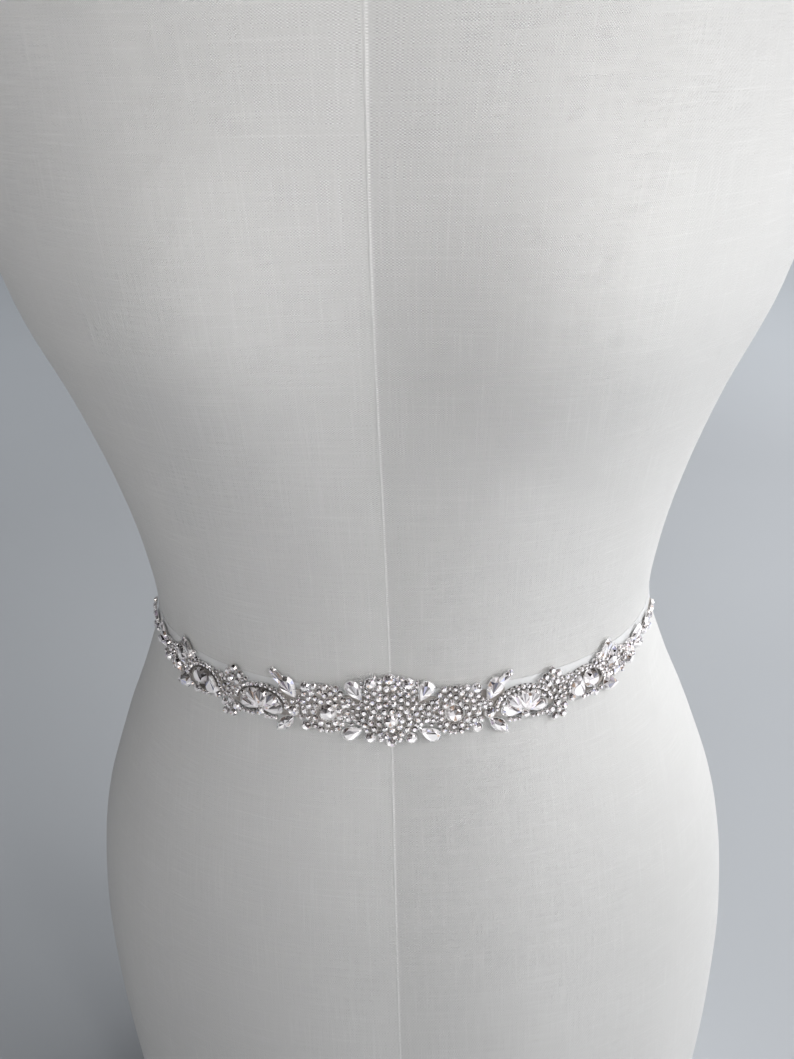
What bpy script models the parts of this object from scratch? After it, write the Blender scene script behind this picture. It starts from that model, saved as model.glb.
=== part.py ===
"""Bridal sash with a crystal applique, tied round the waist of a limbless dress form.

Metres, +Z up, the wearer's front towards -Y. The origin is the middle of the form's flat base.
The sash is a satin ribbon that is knotted at the centre back, with two hanging tails. A rhinestone
applique is sewn along its front. The form is one smooth closed shell, covered in linen.
"""

import math

import bmesh
import bpy
from mathutils import Vector
from mathutils.geometry import delaunay_2d_cdt

MM = 0.001

# ---------------------------------------------------------------- driving dimensions
WAIST_HEIGHT = 0.360          # from the flat base up to the narrowest level of the waist
RIBBON_WIDTH = 0.0127         # a 1/2 inch satin ribbon
RIBBON_WALL = 0.0010
RIBBON_GAP = 0.0005           # the ribbon clears the form by this much
SEAM_GAP = 0.0003             # between the ribbon and what is sewn on it
BELT_TILT = 0.045            # rise of the ribbon per metre towards the back
APPLIQUE_WALL = 0.0010        # metal backing of the applique
NEIGHBOUR_GAP = 0.00035       # between one motif of the applique and the next
MEDALLION_LIFT = 0.0012       # extra crown in the middle of the medallion
KNOT_WIDTH = 0.0165
KNOT_HEIGHT = 0.0185
KNOT_DEPTH = 0.0088
KNOT_PINCH = 0.16             # how much narrower the knot is across its middle
KNOT_TUCK = 0.0062            # the band's ends lie this far from the centre back, under the knot
TAIL_LENGTH = 0.300
TAIL_SPREAD = 0.038           # half the distance between the tails' ends
TAIL_SWAY = 0.003             # sideways reach of a tail's soft S
TAIL_ROOT_WIDTH = 0.0070      # a tail is gathered where it leaves the knot
TAIL_GATHER_SHARE = 0.12      # over this share of its length it opens to the full width
TAIL_SPRING = 0.003           # how far a tail stands off the form just under the knot
TAIL_SPRING_SHARE = 0.2       # over this share of its length it falls back on the form
TAIL_WAVE = 0.0024            # depth of the waves down a tail
TAIL_WAVES = 1.5
TAIL_CLEARANCE = 0.0003       # a tail lies this much further out than the band
SLANT_CUT = 0.010             # one corner of a tail's end is this much longer than the other

# ---------------------------------------------------------------- how fine the meshes are
FORM_SIDES = 44
BAND_STEPS = 84
TAIL_STEPS = 20
KNOT_SIDES = 14
KNOT_RINGS = 8
ARC_SAMPLES = 720
ARCH_STEPS = 12
OUTLINE_MERGE = 0.12          # millimetres: outline points closer than this become one
CELL = 8.5                    # millimetres: backing is laid in cells this size, to bend round
GRID_MARGIN = 1.4             # millimetres: the inner face's cell corners stay this far inside its rim
CHAIN_FOOT = 4.0              # millimetres: an arch's lower corners are cut in by this much

# The form's level sections, in metres: height above the waist, half width, depth in front of
# the middle, depth behind it, and squareness (1 is an ellipse, less is boxier).
SECTION_COLUMNS = ("height", "half_width", "front", "back", "squareness")
FORM_SECTIONS = (
    (-0.360, 0.1520, 0.1110, 0.1170, 0.94),
    (-0.354, 0.1570, 0.1155, 0.1220, 0.94),
    (-0.340, 0.1600, 0.1180, 0.1250, 0.94),
    (-0.300, 0.1635, 0.1200, 0.1290, 0.94),
    (-0.240, 0.1680, 0.1215, 0.1320, 0.94),
    (-0.180, 0.1685, 0.1210, 0.1270, 0.94),
    (-0.120, 0.1610, 0.1175, 0.1120, 0.93),
    (-0.070, 0.1445, 0.1120, 0.0940, 0.92),
    (-0.035, 0.1300, 0.1065, 0.0815, 0.92),
    (0.000, 0.1195, 0.1030, 0.0760, 0.92),
    (0.035, 0.1230, 0.1035, 0.0785, 0.92),
    (0.070, 0.1320, 0.1065, 0.0840, 0.93),
    (0.110, 0.1465, 0.1110, 0.0915, 0.94),
    (0.150, 0.1650, 0.1160, 0.0990, 0.95),
    (0.190, 0.1755, 0.1190, 0.1060, 0.95),
    (0.230, 0.1800, 0.1150, 0.1100, 0.93),
    (0.270, 0.1830, 0.1060, 0.1100, 0.90),
    (0.300, 0.1825, 0.0960, 0.1040, 0.90),
    (0.325, 0.1740, 0.0860, 0.0930, 0.92),
    (0.345, 0.1540, 0.0770, 0.0810, 0.94),
    (0.362, 0.1200, 0.0680, 0.0710, 0.96),
    (0.378, 0.0860, 0.0600, 0.0630, 0.98),
    (0.398, 0.0640, 0.0540, 0.0575, 1.00),
    (0.436, 0.0570, 0.0510, 0.0540, 1.00),
    (0.452, 0.0560, 0.0500, 0.0530, 1.00),
    (0.458, 0.0515, 0.0455, 0.0485, 1.00),
)

# Heights of the rings that the form's mesh is made of: closer together round the ribbon, where
# the waist is hollow, than on the hips and the chest.
RING_STEPS = (
    # from, to, step
    (-0.340, -0.080, 0.0325),
    (-0.065, 0.055, 0.0100),
    (0.075, 0.325, 0.0250),
)

# The bust is a pair of soft swellings on the front.
BUST_APEX_ACROSS = 0.086
BUST_APEX_HEIGHT = 0.160
BUST_FORWARD = 0.020
BUST_WIDTH = 0.054
BUST_RISE = 0.058

# Where each motif of the applique starts and ends along the ribbon, in mm from the centre front.
MOTIF_SPANS = {
    "medallion": (-19.2, 19.2),
    "pave": (19.2, 38.0),
    "leaf_arch": (38.0, 76.0),
    "small_arch": (76.0, 112.8),
    "end_sprig": (112.8, 163.0),
}
SIDE_MOTIFS = ("pave", "leaf_arch", "small_arch", "end_sprig")

# The stones of the right half, in mm and degrees. "along" runs from the centre front, "up" from
# the ribbon's middle line, and "turn" is where the long axis, or a pear's tip, points.
STONE_COLUMNS = ("motif", "cut", "along", "up", "turn", "length", "width", "rise")
STONES = (
    ("medallion", "round", 0.0, -6.6, 0, 6.4, 6.4, 2.2),
    ("medallion", "round", 0.0, 13.1, 0, 5.6, 5.6, 1.9),
    ("medallion", "round", 8.0, 10.5, 0, 5.4, 5.4, 1.9),
    ("medallion", "round", 0.0, -17.8, 0, 4.8, 4.8, 1.7),
    ("medallion", "round", 8.3, -15.6, 0, 5.2, 5.2, 1.8),
    ("medallion", "round", 12.7, 0.2, 0, 4.0, 4.0, 1.6),
    ("medallion", "round", 12.6, -6.8, 0, 4.0, 4.0, 1.6),
    ("medallion", "pear", 15.4, 7.8, 248, 7.8, 5.0, 1.9),
    ("medallion", "pear", 15.7, -14.6, 150, 7.6, 5.2, 1.9),
    ("pave", "dome", 28.4, -3.8, 0, 19.4, 22.8, 0.9),
    ("pave", "round", 26.6, -5.1, 0, 8.6, 8.6, 2.1),
    ("pave", "round", 35.2, 6.8, 0, 4.6, 4.6, 1.6),
    ("pave", "round", 35.2, -12.4, 0, 4.8, 4.8, 1.6),
    ("leaf_arch", "navette", 44.2, 5.9, 54, 11.8, 5.0, 2.0),
    ("leaf_arch", "baguette", 42.6, 9.9, 47, 8.4, 2.8, 1.7),
    ("leaf_arch", "round", 49.7, 10.7, 0, 3.4, 3.4, 1.3),
    ("leaf_arch", "navette", 44.6, -12.6, 313, 10.6, 5.2, 2.0),
    ("leaf_arch", "round", 41.2, -6.4, 0, 5.0, 5.0, 1.7),
    ("leaf_arch", "round", 56.2, -9.8, 0, 4.2, 4.2, 1.8),
    ("leaf_arch", "pear", 62.4, -8.3, 190, 8.8, 4.6, 1.7),
    ("leaf_arch", "pear", 60.2, -4.7, 230, 9.0, 4.6, 1.7),
    ("leaf_arch", "pear", 56.2, -3.2, 270, 9.2, 4.6, 1.7),
    ("leaf_arch", "pear", 52.2, -4.7, 310, 9.0, 4.6, 1.7),
    ("leaf_arch", "pear", 50.0, -8.3, 350, 8.8, 4.6, 1.7),
    ("leaf_arch", "flower", 69.8, 4.3, 90, 9.6, 9.6, 1.7),
    ("leaf_arch", "flower", 70.9, -11.8, 54, 9.8, 9.8, 1.7),
    ("small_arch", "round", 89.4, -3.7, 0, 7.2, 7.2, 2.0),
    ("small_arch", "pear", 81.8, -4.2, 72, 9.2, 5.4, 1.9),
    ("small_arch", "pear", 99.6, -10.9, 118, 7.6, 5.8, 1.9),
    ("small_arch", "round", 90.8, -10.8, 0, 3.8, 3.8, 1.4),
    ("small_arch", "round", 78.4, -8.4, 0, 4.0, 4.0, 1.4),
    ("small_arch", "flower", 94.6, 3.4, 45, 7.0, 7.0, 1.5),
    ("small_arch", "baguette", 99.4, 7.4, 48, 9.4, 3.0, 1.7),
    ("small_arch", "navette", 103.8, 1.3, 60, 10.4, 5.0, 2.0),
    ("small_arch", "navette", 106.6, -5.4, 48, 8.4, 4.6, 1.9),
    ("end_sprig", "round", 115.5, -6.0, 0, 5.0, 5.0, 1.8),
    ("end_sprig", "round", 117.6, -0.9, 0, 5.2, 5.2, 1.7),
    ("end_sprig", "baguette", 124.2, 2.7, 20, 9.4, 3.2, 1.7),
    ("end_sprig", "navette", 125.4, -2.9, 352, 10.0, 5.0, 1.9),
    ("end_sprig", "round", 132.8, -0.6, 0, 5.0, 5.0, 1.7),
    ("end_sprig", "baguette", 139.4, 1.9, 12, 8.4, 3.0, 1.7),
    ("end_sprig", "navette", 139.4, -2.6, 350, 8.6, 4.2, 1.8),
    ("end_sprig", "round", 145.8, -0.5, 0, 4.2, 4.2, 1.6),
    ("end_sprig", "navette", 151.6, -0.5, 0, 7.8, 3.8, 1.7),
    ("end_sprig", "round", 157.4, -0.5, 0, 3.8, 3.8, 1.4),
)

# Each arch is a filled half oval of backing with a raised chain of small stones on its rim, in mm.
ARCH_COLUMNS = ("motif", "along", "up", "half_span", "height", "below")
ARCHES = (
    ("leaf_arch", 56.2, -5.2, 13.2, 9.6, 5.4),
    ("small_arch", 86.9, -4.8, 10.8, 8.8, 4.6),
)
CHAIN_WIDTH = 2.6
CHAIN_RISE = 1.3

# Rings of small stones round a large one, in mm.
RING_COLUMNS = ("motif", "along", "up", "radius", "count", "size", "rise")
STONE_RINGS = (
    ("medallion", 0.0, -6.6, 5.3, 8, 3.2, 1.7),
    ("medallion", 0.0, -2.4, 10.0, 12, 3.2, 1.5),
    ("pave", 26.6, -5.1, 6.5, 10, 3.2, 1.6),
)

# Wires that carry a stone standing clear of the backing, in mm: from the stone to the backing.
STEM_COLUMNS = ("motif", "along", "up", "to_along", "to_up")
STEMS = (
    ("medallion", 15.4, 7.8, 8.0, 3.0),
    ("medallion", -15.4, 7.8, -8.0, 3.0),
    ("medallion", 15.7, -14.6, 8.0, -8.0),
    ("medallion", -15.7, -14.6, -8.0, -8.0),
    ("pave", 35.2, 6.8, 31.3, 3.0),
    ("pave", 35.2, -12.4, 31.3, -9.0),
    ("leaf_arch", 42.6, 9.9, 44.2, 2.0),
    ("leaf_arch", 49.7, 10.7, 44.2, 5.0),
    ("leaf_arch", 69.8, 4.3, 69.8, -1.0),
    ("leaf_arch", 70.9, -11.8, 70.5, -6.0),
    ("small_arch", 90.8, -10.8, 90.8, -6.0),
    ("small_arch", 99.6, -10.9, 98.6, -6.0),
    ("small_arch", 78.4, -8.4, 79.2, -5.0),
    ("small_arch", 99.4, 7.4, 98.2, 0.6),
    ("end_sprig", 115.5, -6.0, 116.2, -2.0),
    ("end_sprig", 124.2, 2.7, 122.6, -1.0),
)
STEM_WIDTH = 2.2

# Flat backing that joins the stones of a motif, in mm: along from and to, up from and to.
BACKING_COLUMNS = ("motif", "start", "end", "bottom", "top")
BACKINGS = (
    ("pave", 19.2, 38.0, -8.0, 3.0),
    ("leaf_arch", 38.0, 48.4, -9.5, 4.0),
    ("leaf_arch", 62.8, 76.0, -8.4, 1.4),
    ("small_arch", 76.0, 81.4, -8.0, 1.8),
    ("small_arch", 92.4, 112.8, -8.8, 2.8),
    ("end_sprig", 112.8, 123.0, -5.0, 1.4),
    ("end_sprig", 119.2, 158.9, -2.4, 1.2),
)
MEDALLION_OVAL = (0.0, -1.6, 14.6, 16.0)      # along, up, half width and half height
MEDALLION_BAR = (-19.2, 19.2, -8.0, 3.0)      # backing that reaches its neighbours

# How large each cut's flat top is, as a share of its outline. A bead comes to a point.
TABLE_SHARE = {"round": 0.52, "pear": 0.50, "navette": 0.46, "baguette": 0.58,
               "bead": 0.0, "dome": 0.70, "flower": 0.62}
# The outlines of the cuts. Half a stone's length and half its width are 1.
ROUND_SIDES = {"bead": 6, "round": 7, "flower": 10, "dome": 12}
FLOWER_NOTCH = 0.80           # reach of the outline between two petals
PEAR_OUTLINE = ((1.0, 0.0), (0.40, 0.58), (-0.20, 0.97), (-0.70, 0.80), (-1.0, 0.28),
                (-1.0, -0.28), (-0.70, -0.80), (-0.20, -0.97), (0.40, -0.58))
NAVETTE_OUTLINE = ((1.0, 0.0), (0.55, 0.66), (0.0, 1.0), (-0.55, 0.66),
                   (-1.0, 0.0), (-0.55, -0.66), (0.0, -1.0), (0.55, -0.66))
BAGUETTE_OUTLINE = ((1.0, 1.0), (-1.0, 1.0), (-1.0, -1.0), (1.0, -1.0))

# name: colour, roughness, metallic
FINISHES = {
    "linen": ((0.78, 0.76, 0.73), 0.90, 0.0),
    "satin": ((0.90, 0.90, 0.91), 0.38, 0.0),
    "crystal": ((0.86, 0.87, 0.90), 0.12, 0.6),
}


# ---------------------------------------------------------------- scene helpers
def clear_scene():
    for old in list(bpy.data.objects):
        bpy.data.objects.remove(old, do_unlink=True)


def make_material(name, finish):
    colour, roughness, metallic = FINISHES[finish]
    material = bpy.data.materials.new(name)
    material.use_nodes = True
    shader = material.node_tree.nodes["Principled BSDF"]
    shader.inputs["Base Color"].default_value = (*colour, 1.0)
    shader.inputs["Roughness"].default_value = roughness
    shader.inputs["Metallic"].default_value = metallic
    return material


def add_object(name, shape, finish):
    """Turn a bmesh into a named, smooth-shaded object with a material of its own."""
    bmesh.ops.recalc_face_normals(shape, faces=shape.faces[:])
    mesh = bpy.data.meshes.new(name)
    shape.to_mesh(mesh)
    shape.free()
    mesh.shade_smooth()
    mesh.set_sharp_from_angle(angle=math.radians(40))
    mesh.materials.append(make_material(name, finish))
    piece = bpy.data.objects.new(name, mesh)
    bpy.context.scene.collection.objects.link(piece)
    return piece


def rows_of(table, columns):
    return [dict(zip(columns, row)) for row in table]


def add_ring(shape, points):
    """A closed loop of edges through the points."""
    corners = [shape.verts.new(point) for point in points]
    return [shape.edges.new((corner, corners[i - 1])) for i, corner in enumerate(corners)]


def loft(shape, rings):
    """Join neighbouring loops and close the first and the last one with a flat face."""
    loops = [add_ring(shape, ring) for ring in rings]
    for lower, upper in zip(loops, loops[1:]):
        bmesh.ops.bridge_loops(shape, edges=lower + upper)
    for end in (loops[0], loops[-1]):
        bmesh.ops.edgeloop_fill(shape, edges=end)


# ---------------------------------------------------------------- the dress form's surface
def smooth_value(rows, height, column):
    """Read one column of the section table at any height, on a smooth curve through its rows."""
    last = len(rows) - 1
    height = min(max(height, rows[0]["height"]), rows[last]["height"])
    i = 0
    while i < last - 1 and rows[i + 1]["height"] < height:
        i += 1

    def slope(k):
        a, b = rows[max(k - 1, 0)], rows[min(k + 1, last)]
        return (b[column] - a[column]) / (b["height"] - a["height"])

    low, high = rows[i], rows[i + 1]
    span = high["height"] - low["height"]
    t = (height - low["height"]) / span
    rise = 3 * t ** 2 - 2 * t ** 3
    return (low[column] * (1 - rise) + high[column] * rise
            + span * (slope(i) * (t ** 3 - 2 * t ** 2 + t) + slope(i + 1) * (t ** 3 - t ** 2)))


SECTIONS = rows_of(FORM_SECTIONS, SECTION_COLUMNS)


def form_point(angle, height):
    """A point of the form: angle 0 is the centre front, +90 degrees its left side (+X)."""
    power = smooth_value(SECTIONS, height, "squareness")
    across = math.copysign(abs(math.sin(angle)) ** power, math.sin(angle))
    ahead = math.copysign(abs(math.cos(angle)) ** power, math.cos(angle))
    depth = smooth_value(SECTIONS, height, "front" if ahead > 0 else "back")
    x = smooth_value(SECTIONS, height, "half_width") * across
    y = -depth * ahead
    if ahead > 0:
        level = math.exp(-((height - BUST_APEX_HEIGHT) / BUST_RISE) ** 2)
        for apex in (-BUST_APEX_ACROSS, BUST_APEX_ACROSS):
            y -= BUST_FORWARD * ahead * level * math.exp(-((x - apex) / BUST_WIDTH) ** 2)
    return Vector((x, y, WAIST_HEIGHT + height))


def form_normal(angle, height):
    """The outward direction of the form's surface there."""
    step_round, step_up = math.radians(0.5), 0.001
    round_way = form_point(angle + step_round, height) - form_point(angle - step_round, height)
    up_way = form_point(angle, height + step_up) - form_point(angle, height - step_up)
    return round_way.cross(up_way).normalized()


def ring_heights():
    heights = [row["height"] for row in SECTIONS if row["height"] < RING_STEPS[0][0]]
    for start, end, step in RING_STEPS:
        count = round((end - start) / step)
        heights += [start + (end - start) * k / count for k in range(count + 1)]
    heights += [row["height"] for row in SECTIONS if row["height"] > RING_STEPS[-1][1]]
    return heights


def build_dress_form():
    shape = bmesh.new()
    turns = [math.tau * k / FORM_SIDES for k in range(FORM_SIDES)]
    loft(shape, [[form_point(turn, height) for turn in turns] for height in ring_heights()])
    add_object("dress_form", shape, "linen")


# ---------------------------------------------------------------- where the ribbon runs
def belt_height(angle):
    """The ribbon's middle line, level from side to side and rising towards the back."""
    return BELT_TILT * form_point(angle, 0.0).y


def arc_table():
    """The length along the ribbon's middle line from the centre front to each angle."""
    lengths = [0.0]
    before = form_point(0.0, belt_height(0.0))
    for k in range(1, ARC_SAMPLES + 1):
        angle = math.pi * k / ARC_SAMPLES
        here = form_point(angle, belt_height(angle))
        lengths.append(lengths[-1] + (here - before).length)
        before = here
    return lengths


ARC_LENGTHS = arc_table()
HALF_GIRTH = ARC_LENGTHS[-1]


def belt_angle(along):
    """The angle round the form that lies a given length along the ribbon."""
    target = abs(along)
    low, high = 0, ARC_SAMPLES
    while high - low > 1:
        middle = (low + high) // 2
        if ARC_LENGTHS[middle] > target:
            high = middle
        else:
            low = middle
    share = (target - ARC_LENGTHS[low]) / (ARC_LENGTHS[high] - ARC_LENGTHS[low])
    return math.copysign(math.pi * (low + share) / ARC_SAMPLES, along)


def on_belt(along, up, out):
    """A point by its length along the ribbon, its height from the ribbon's middle line and its
    distance out from the form."""
    angle = belt_angle(along)
    height = belt_height(angle) + up
    return form_point(angle, height) + form_normal(angle, height) * out


# ---------------------------------------------------------------- ribbon, knot and tails
def build_ribbon_band():
    """The stretch round the waist, whose two ends run in under the knot."""
    shape = bmesh.new()
    reach = HALF_GIRTH - KNOT_TUCK
    section = [(up, RIBBON_GAP) for up in (-RIBBON_WIDTH / 2, 0.0, RIBBON_WIDTH / 2)]
    section += [(up, RIBBON_GAP + RIBBON_WALL) for up, _ in reversed(section)]
    rings = []
    for k in range(BAND_STEPS + 1):
        along = reach * (2 * k / BAND_STEPS - 1)
        rings.append([on_belt(along, up, out) for up, out in section])
    loft(shape, rings)
    add_object("ribbon_band", shape, "satin")


def build_knot():
    """A plain knot: a rounded lump, narrower across its middle where the ends cross."""
    shape = bmesh.new()
    middle = form_point(math.pi, belt_height(math.pi))
    middle.y += SEAM_GAP + KNOT_DEPTH / 2
    rings = []
    for i in range(1, KNOT_RINGS):
        turn = math.pi * i / KNOT_RINGS
        fullness = math.sqrt(math.sin(turn))
        ring = []
        for k in range(KNOT_SIDES):
            way = math.tau * k / KNOT_SIDES
            pinch = 1 + KNOT_PINCH * math.cos(2 * turn) * abs(math.cos(way))
            x = KNOT_WIDTH / 2 * fullness * pinch * math.cos(way)
            y = KNOT_DEPTH / 2 * fullness * math.sin(way)
            z = KNOT_HEIGHT / 2 * math.cos(turn) / math.cos(math.pi / KNOT_RINGS)
            ring.append(middle + Vector((x, y, z)))
        rings.append(ring)
    loft(shape, rings)
    add_object("ribbon_knot", shape, "satin")


def tail_line(side, share):
    """The middle of a tail at a share of its length: a soft S from the knot down the hips."""
    root = TAIL_ROOT_WIDTH / 2 + SEAM_GAP
    x = root + (TAIL_SPREAD - root) * share ** 0.8 + TAIL_SWAY * math.sin(math.tau * share)
    top = belt_height(math.pi) - KNOT_HEIGHT / 2 - SEAM_GAP
    return side * x, top - TAIL_LENGTH * share


def back_angle(x, height):
    """The angle at which the back of the form lies x from the middle."""
    power = smooth_value(SECTIONS, height, "squareness")
    share = min(abs(x) / smooth_value(SECTIONS, height, "half_width"), 1.0)
    return math.pi - math.copysign(math.asin(share ** (1 / power)), x)


def tail_point(side, share, place, layer):
    """A point of a tail: place runs from -1 to 1 across it, layer is 0 inside and 1 outside."""
    middle, height = tail_line(side, share)
    gather = min(share / TAIL_GATHER_SHARE, 1.0)
    width = TAIL_ROOT_WIDTH + (RIBBON_WIDTH - TAIL_ROOT_WIDTH) * gather
    x = middle + place * width / 2
    z = height - SLANT_CUT * share ** 8 * (1 + place * side) / 2
    spring = TAIL_SPRING / 2 * (1 + math.cos(math.pi * min(share / TAIL_SPRING_SHARE, 1.0)))
    wave = TAIL_WAVE / 2 * (1 - math.cos(math.tau * TAIL_WAVES * share)) * (1 - place * place)
    out = RIBBON_GAP + TAIL_CLEARANCE + spring + wave + RIBBON_WALL * layer
    angle = back_angle(x, z)
    level_way = form_normal(angle, z) * Vector((1.0, 1.0, 0.0))
    return form_point(angle, z) + level_way.normalized() * out


def build_tail(name, side):
    shape = bmesh.new()
    section = [(-1, 0), (0, 0), (1, 0), (1, 1), (0, 1), (-1, 1)]
    shares = [k / TAIL_STEPS for k in range(TAIL_STEPS + 1)]
    loft(shape, [[tail_point(side, share, place, layer) for place, layer in section]
                 for share in shares])
    add_object(name, shape, "satin")


# ---------------------------------------------------------------- the applique's stones
def unit_outline(cut):
    if cut == "pear":
        return PEAR_OUTLINE
    if cut == "navette":
        return NAVETTE_OUTLINE
    if cut == "baguette":
        return BAGUETTE_OUTLINE
    count = ROUND_SIDES[cut]
    points = []
    for k in range(count):
        turn = math.tau * (k + 0.5) / count
        reach = FLOWER_NOTCH if cut == "flower" and k % 2 else 1.0
        points.append((reach * math.cos(turn), reach * math.sin(turn)))
    return points


def stone_outline(stone, share=1.0):
    """The stone's outline, or a share of it, laid flat along the ribbon."""
    turn = math.radians(stone["turn"])
    placed = []
    for x, y in unit_outline(stone["cut"]):
        x *= share * stone["length"] / 2
        y *= share * stone["width"] / 2
        placed.append((stone["along"] + x * math.cos(turn) - y * math.sin(turn),
                       stone["up"] + x * math.sin(turn) + y * math.cos(turn)))
    return placed


def stone_share(stone, along, up):
    """How far out a point lies in a stone: 0 at its middle, 1 on its outline."""
    turn = math.radians(stone["turn"])
    dx, dy = along - stone["along"], up - stone["up"]
    x = (dx * math.cos(turn) + dy * math.sin(turn)) / (stone["length"] / 2)
    y = (dy * math.cos(turn) - dx * math.sin(turn)) / (stone["width"] / 2)
    if stone["cut"] in ROUND_SIDES:
        return math.hypot(x, y) / math.cos(math.pi / ROUND_SIDES[stone["cut"]])
    outline = unit_outline(stone["cut"])
    share = 0.0
    for (ax, ay), (bx, by) in zip(outline, outline[1:] + outline[:1]):
        nx, ny = by - ay, ax - bx
        share = max(share, (nx * x + ny * y) / (nx * ax + ny * ay))
    return share


def stone_height(stone, along, up):
    table = TABLE_SHARE[stone["cut"]]
    slope = (1.0 - stone_share(stone, along, up)) / (1.0 - table)
    return stone["rise"] * min(max(slope, 0.0), 1.0)


def arch_curve(arch, inset):
    """The arch's rim, moved in by an inset."""
    points = []
    for k in range(ARCH_STEPS + 1):
        turn = math.pi * k / ARCH_STEPS
        points.append((arch["along"] + (arch["half_span"] - inset) * math.cos(turn),
                       arch["up"] + (arch["height"] - inset) * math.sin(turn)))
    return points


def arch_height(arch, along, up):
    """The chain on the rim: highest along its middle, level with the backing at its edges."""
    dx = (along - arch["along"]) / (arch["half_span"] - CHAIN_WIDTH / 2)
    dy = (up - arch["up"]) / (arch["height"] - CHAIN_WIDTH / 2)
    if dy < 0:
        return 0.0
    off = abs(math.hypot(dx, dy) - 1.0) * (arch["height"] - CHAIN_WIDTH / 2)
    return CHAIN_RISE * max(0.0, 1.0 - 2 * off / CHAIN_WIDTH)


def oval(along, up, half_width, half_height, count=20):
    return [(along + half_width * math.cos(math.tau * k / count),
             up + half_height * math.sin(math.tau * k / count)) for k in range(count)]


def cells(start, end, bottom, top):
    """A rectangle of backing, as a block of smaller ones side by side."""
    across = math.ceil((end - start) / CELL)
    rows = math.ceil((top - bottom) / CELL)
    wide, tall = (end - start) / across, (top - bottom) / rows
    blocks = []
    for i in range(across):
        for k in range(rows):
            left, low = start + i * wide, bottom + k * tall
            blocks.append([(left, low), (left + wide, low), (left + wide, low + tall),
                           (left, low + tall)])
    return blocks


def stem(start_along, start_up, end_along, end_up):
    """A straight wire between two places, as a narrow four-sided outline."""
    run = Vector((end_along - start_along, end_up - start_up))
    aside = Vector((-run.y, run.x)).normalized() * STEM_WIDTH / 2
    start, end = Vector((start_along, start_up)), Vector((end_along, end_up))
    return [tuple(point) for point in (start - aside, end - aside, end + aside, start + aside)]


def ring_stones(motif):
    """The small stones that stand in a ring round a large one."""
    stones = []
    for ring in rows_of(STONE_RINGS, RING_COLUMNS):
        if ring["motif"] != motif:
            continue
        for k in range(ring["count"]):
            turn = math.tau * (k + 0.5) / ring["count"]
            place = (ring["along"] + ring["radius"] * math.cos(turn),
                     ring["up"] + ring["radius"] * math.sin(turn))
            stones.append(dict(zip(STONE_COLUMNS, (motif, "bead", *place, math.degrees(turn),
                                                   ring["size"], ring["size"], ring["rise"]))))
    return stones


def motif_stones(motif):
    """The motif's stones. The medallion's table holds its right half, which is mirrored."""
    stones = [stone for stone in rows_of(STONES, STONE_COLUMNS) if stone["motif"] == motif]
    if motif == "medallion":
        stones += [{**stone, "along": -stone["along"], "turn": 180 - stone["turn"]}
                   for stone in stones if stone["along"] > 0]
    return stones + ring_stones(motif)


def motif_outlines(motif, stones, arches):
    """Every closed outline that the motif is made of, in mm, and the chains' ridge lines."""
    outlines = []
    ridges = []
    for stone in stones:
        outlines.append(stone_outline(stone))
        if stone["cut"] != "bead":
            outlines.append(stone_outline(stone, TABLE_SHARE[stone["cut"]]))
    for arch in arches:
        right, left = arch["along"] + arch["half_span"], arch["along"] - arch["half_span"]
        foot = arch["up"] - arch["below"]
        outlines.append(arch_curve(arch, 0.0)
                        + [(left + CHAIN_FOOT, foot), (right - CHAIN_FOOT, foot)])
        ridges.append(arch_curve(arch, CHAIN_WIDTH / 2))
        ridges.append(arch_curve(arch, CHAIN_WIDTH))
    for backing in rows_of(BACKINGS, BACKING_COLUMNS):
        if backing["motif"] == motif:
            outlines += cells(*list(backing.values())[1:])
    for wire in rows_of(STEMS, STEM_COLUMNS):
        if wire["motif"] == motif:
            outlines.append(stem(*list(wire.values())[1:]))
    if motif == "medallion":
        outlines.append(oval(*MEDALLION_OVAL))
        outlines += cells(*MEDALLION_BAR)
    return outlines, ridges


def clip(points, motif):
    """Keep a motif between its neighbours, with half a gap at each end."""
    start, end = MOTIF_SPANS[motif]
    margin = NEIGHBOUR_GAP / MM / 2
    return [(min(max(along, start + margin), end - margin), up) for along, up in points]


def flat_pattern(motif, outlines, ridges, beads):
    """Triangulate the motif's outlines in the plane of the unrolled ribbon."""
    places = []
    edges = []
    faces = []
    for points in outlines:
        first = len(places)
        places += [Vector(point) for point in clip(points, motif)]
        faces.append(list(range(first, len(places))))
    for points in ridges:
        first = len(places)
        places += [Vector(point) for point in clip(points, motif)]
        edges += [(k, k + 1) for k in range(first, len(places) - 1)]
    places += [Vector((bead["along"], bead["up"])) for bead in beads]
    corners, _, triangles, *_ = delaunay_2d_cdt(places, edges, faces, 1, 1e-4)
    pattern = bmesh.new()
    made = [pattern.verts.new((corner.x, corner.y, 0.0)) for corner in corners]
    for triangle in triangles:
        pattern.faces.new([made[k] for k in triangle])
    bmesh.ops.remove_doubles(pattern, verts=pattern.verts[:], dist=OUTLINE_MERGE)
    bmesh.ops.dissolve_degenerate(pattern, edges=pattern.edges[:], dist=OUTLINE_MERGE / 4)
    bmesh.ops.triangulate(pattern, faces=pattern.faces[:])
    for face in pattern.faces:
        if face.normal.z < 0:
            face.normal_flip()
    return pattern


def motif_height(motif, stones, arches, along, up):
    """How far the outer face stands out from the backing's plain inner face, in metres."""
    raised = [stone_height(stone, along, up) for stone in stones]
    raised += [arch_height(arch, along, up) for arch in arches]
    height = APPLIQUE_WALL + max(raised) * MM
    if motif == "medallion":
        middle_along, middle_up, half_width, half_height = MEDALLION_OVAL
        far = math.hypot((along - middle_along) / half_width, (up - middle_up) / half_height)
        height += MEDALLION_LIFT * max(0.0, 1.0 - far ** 2)
    return height


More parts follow.
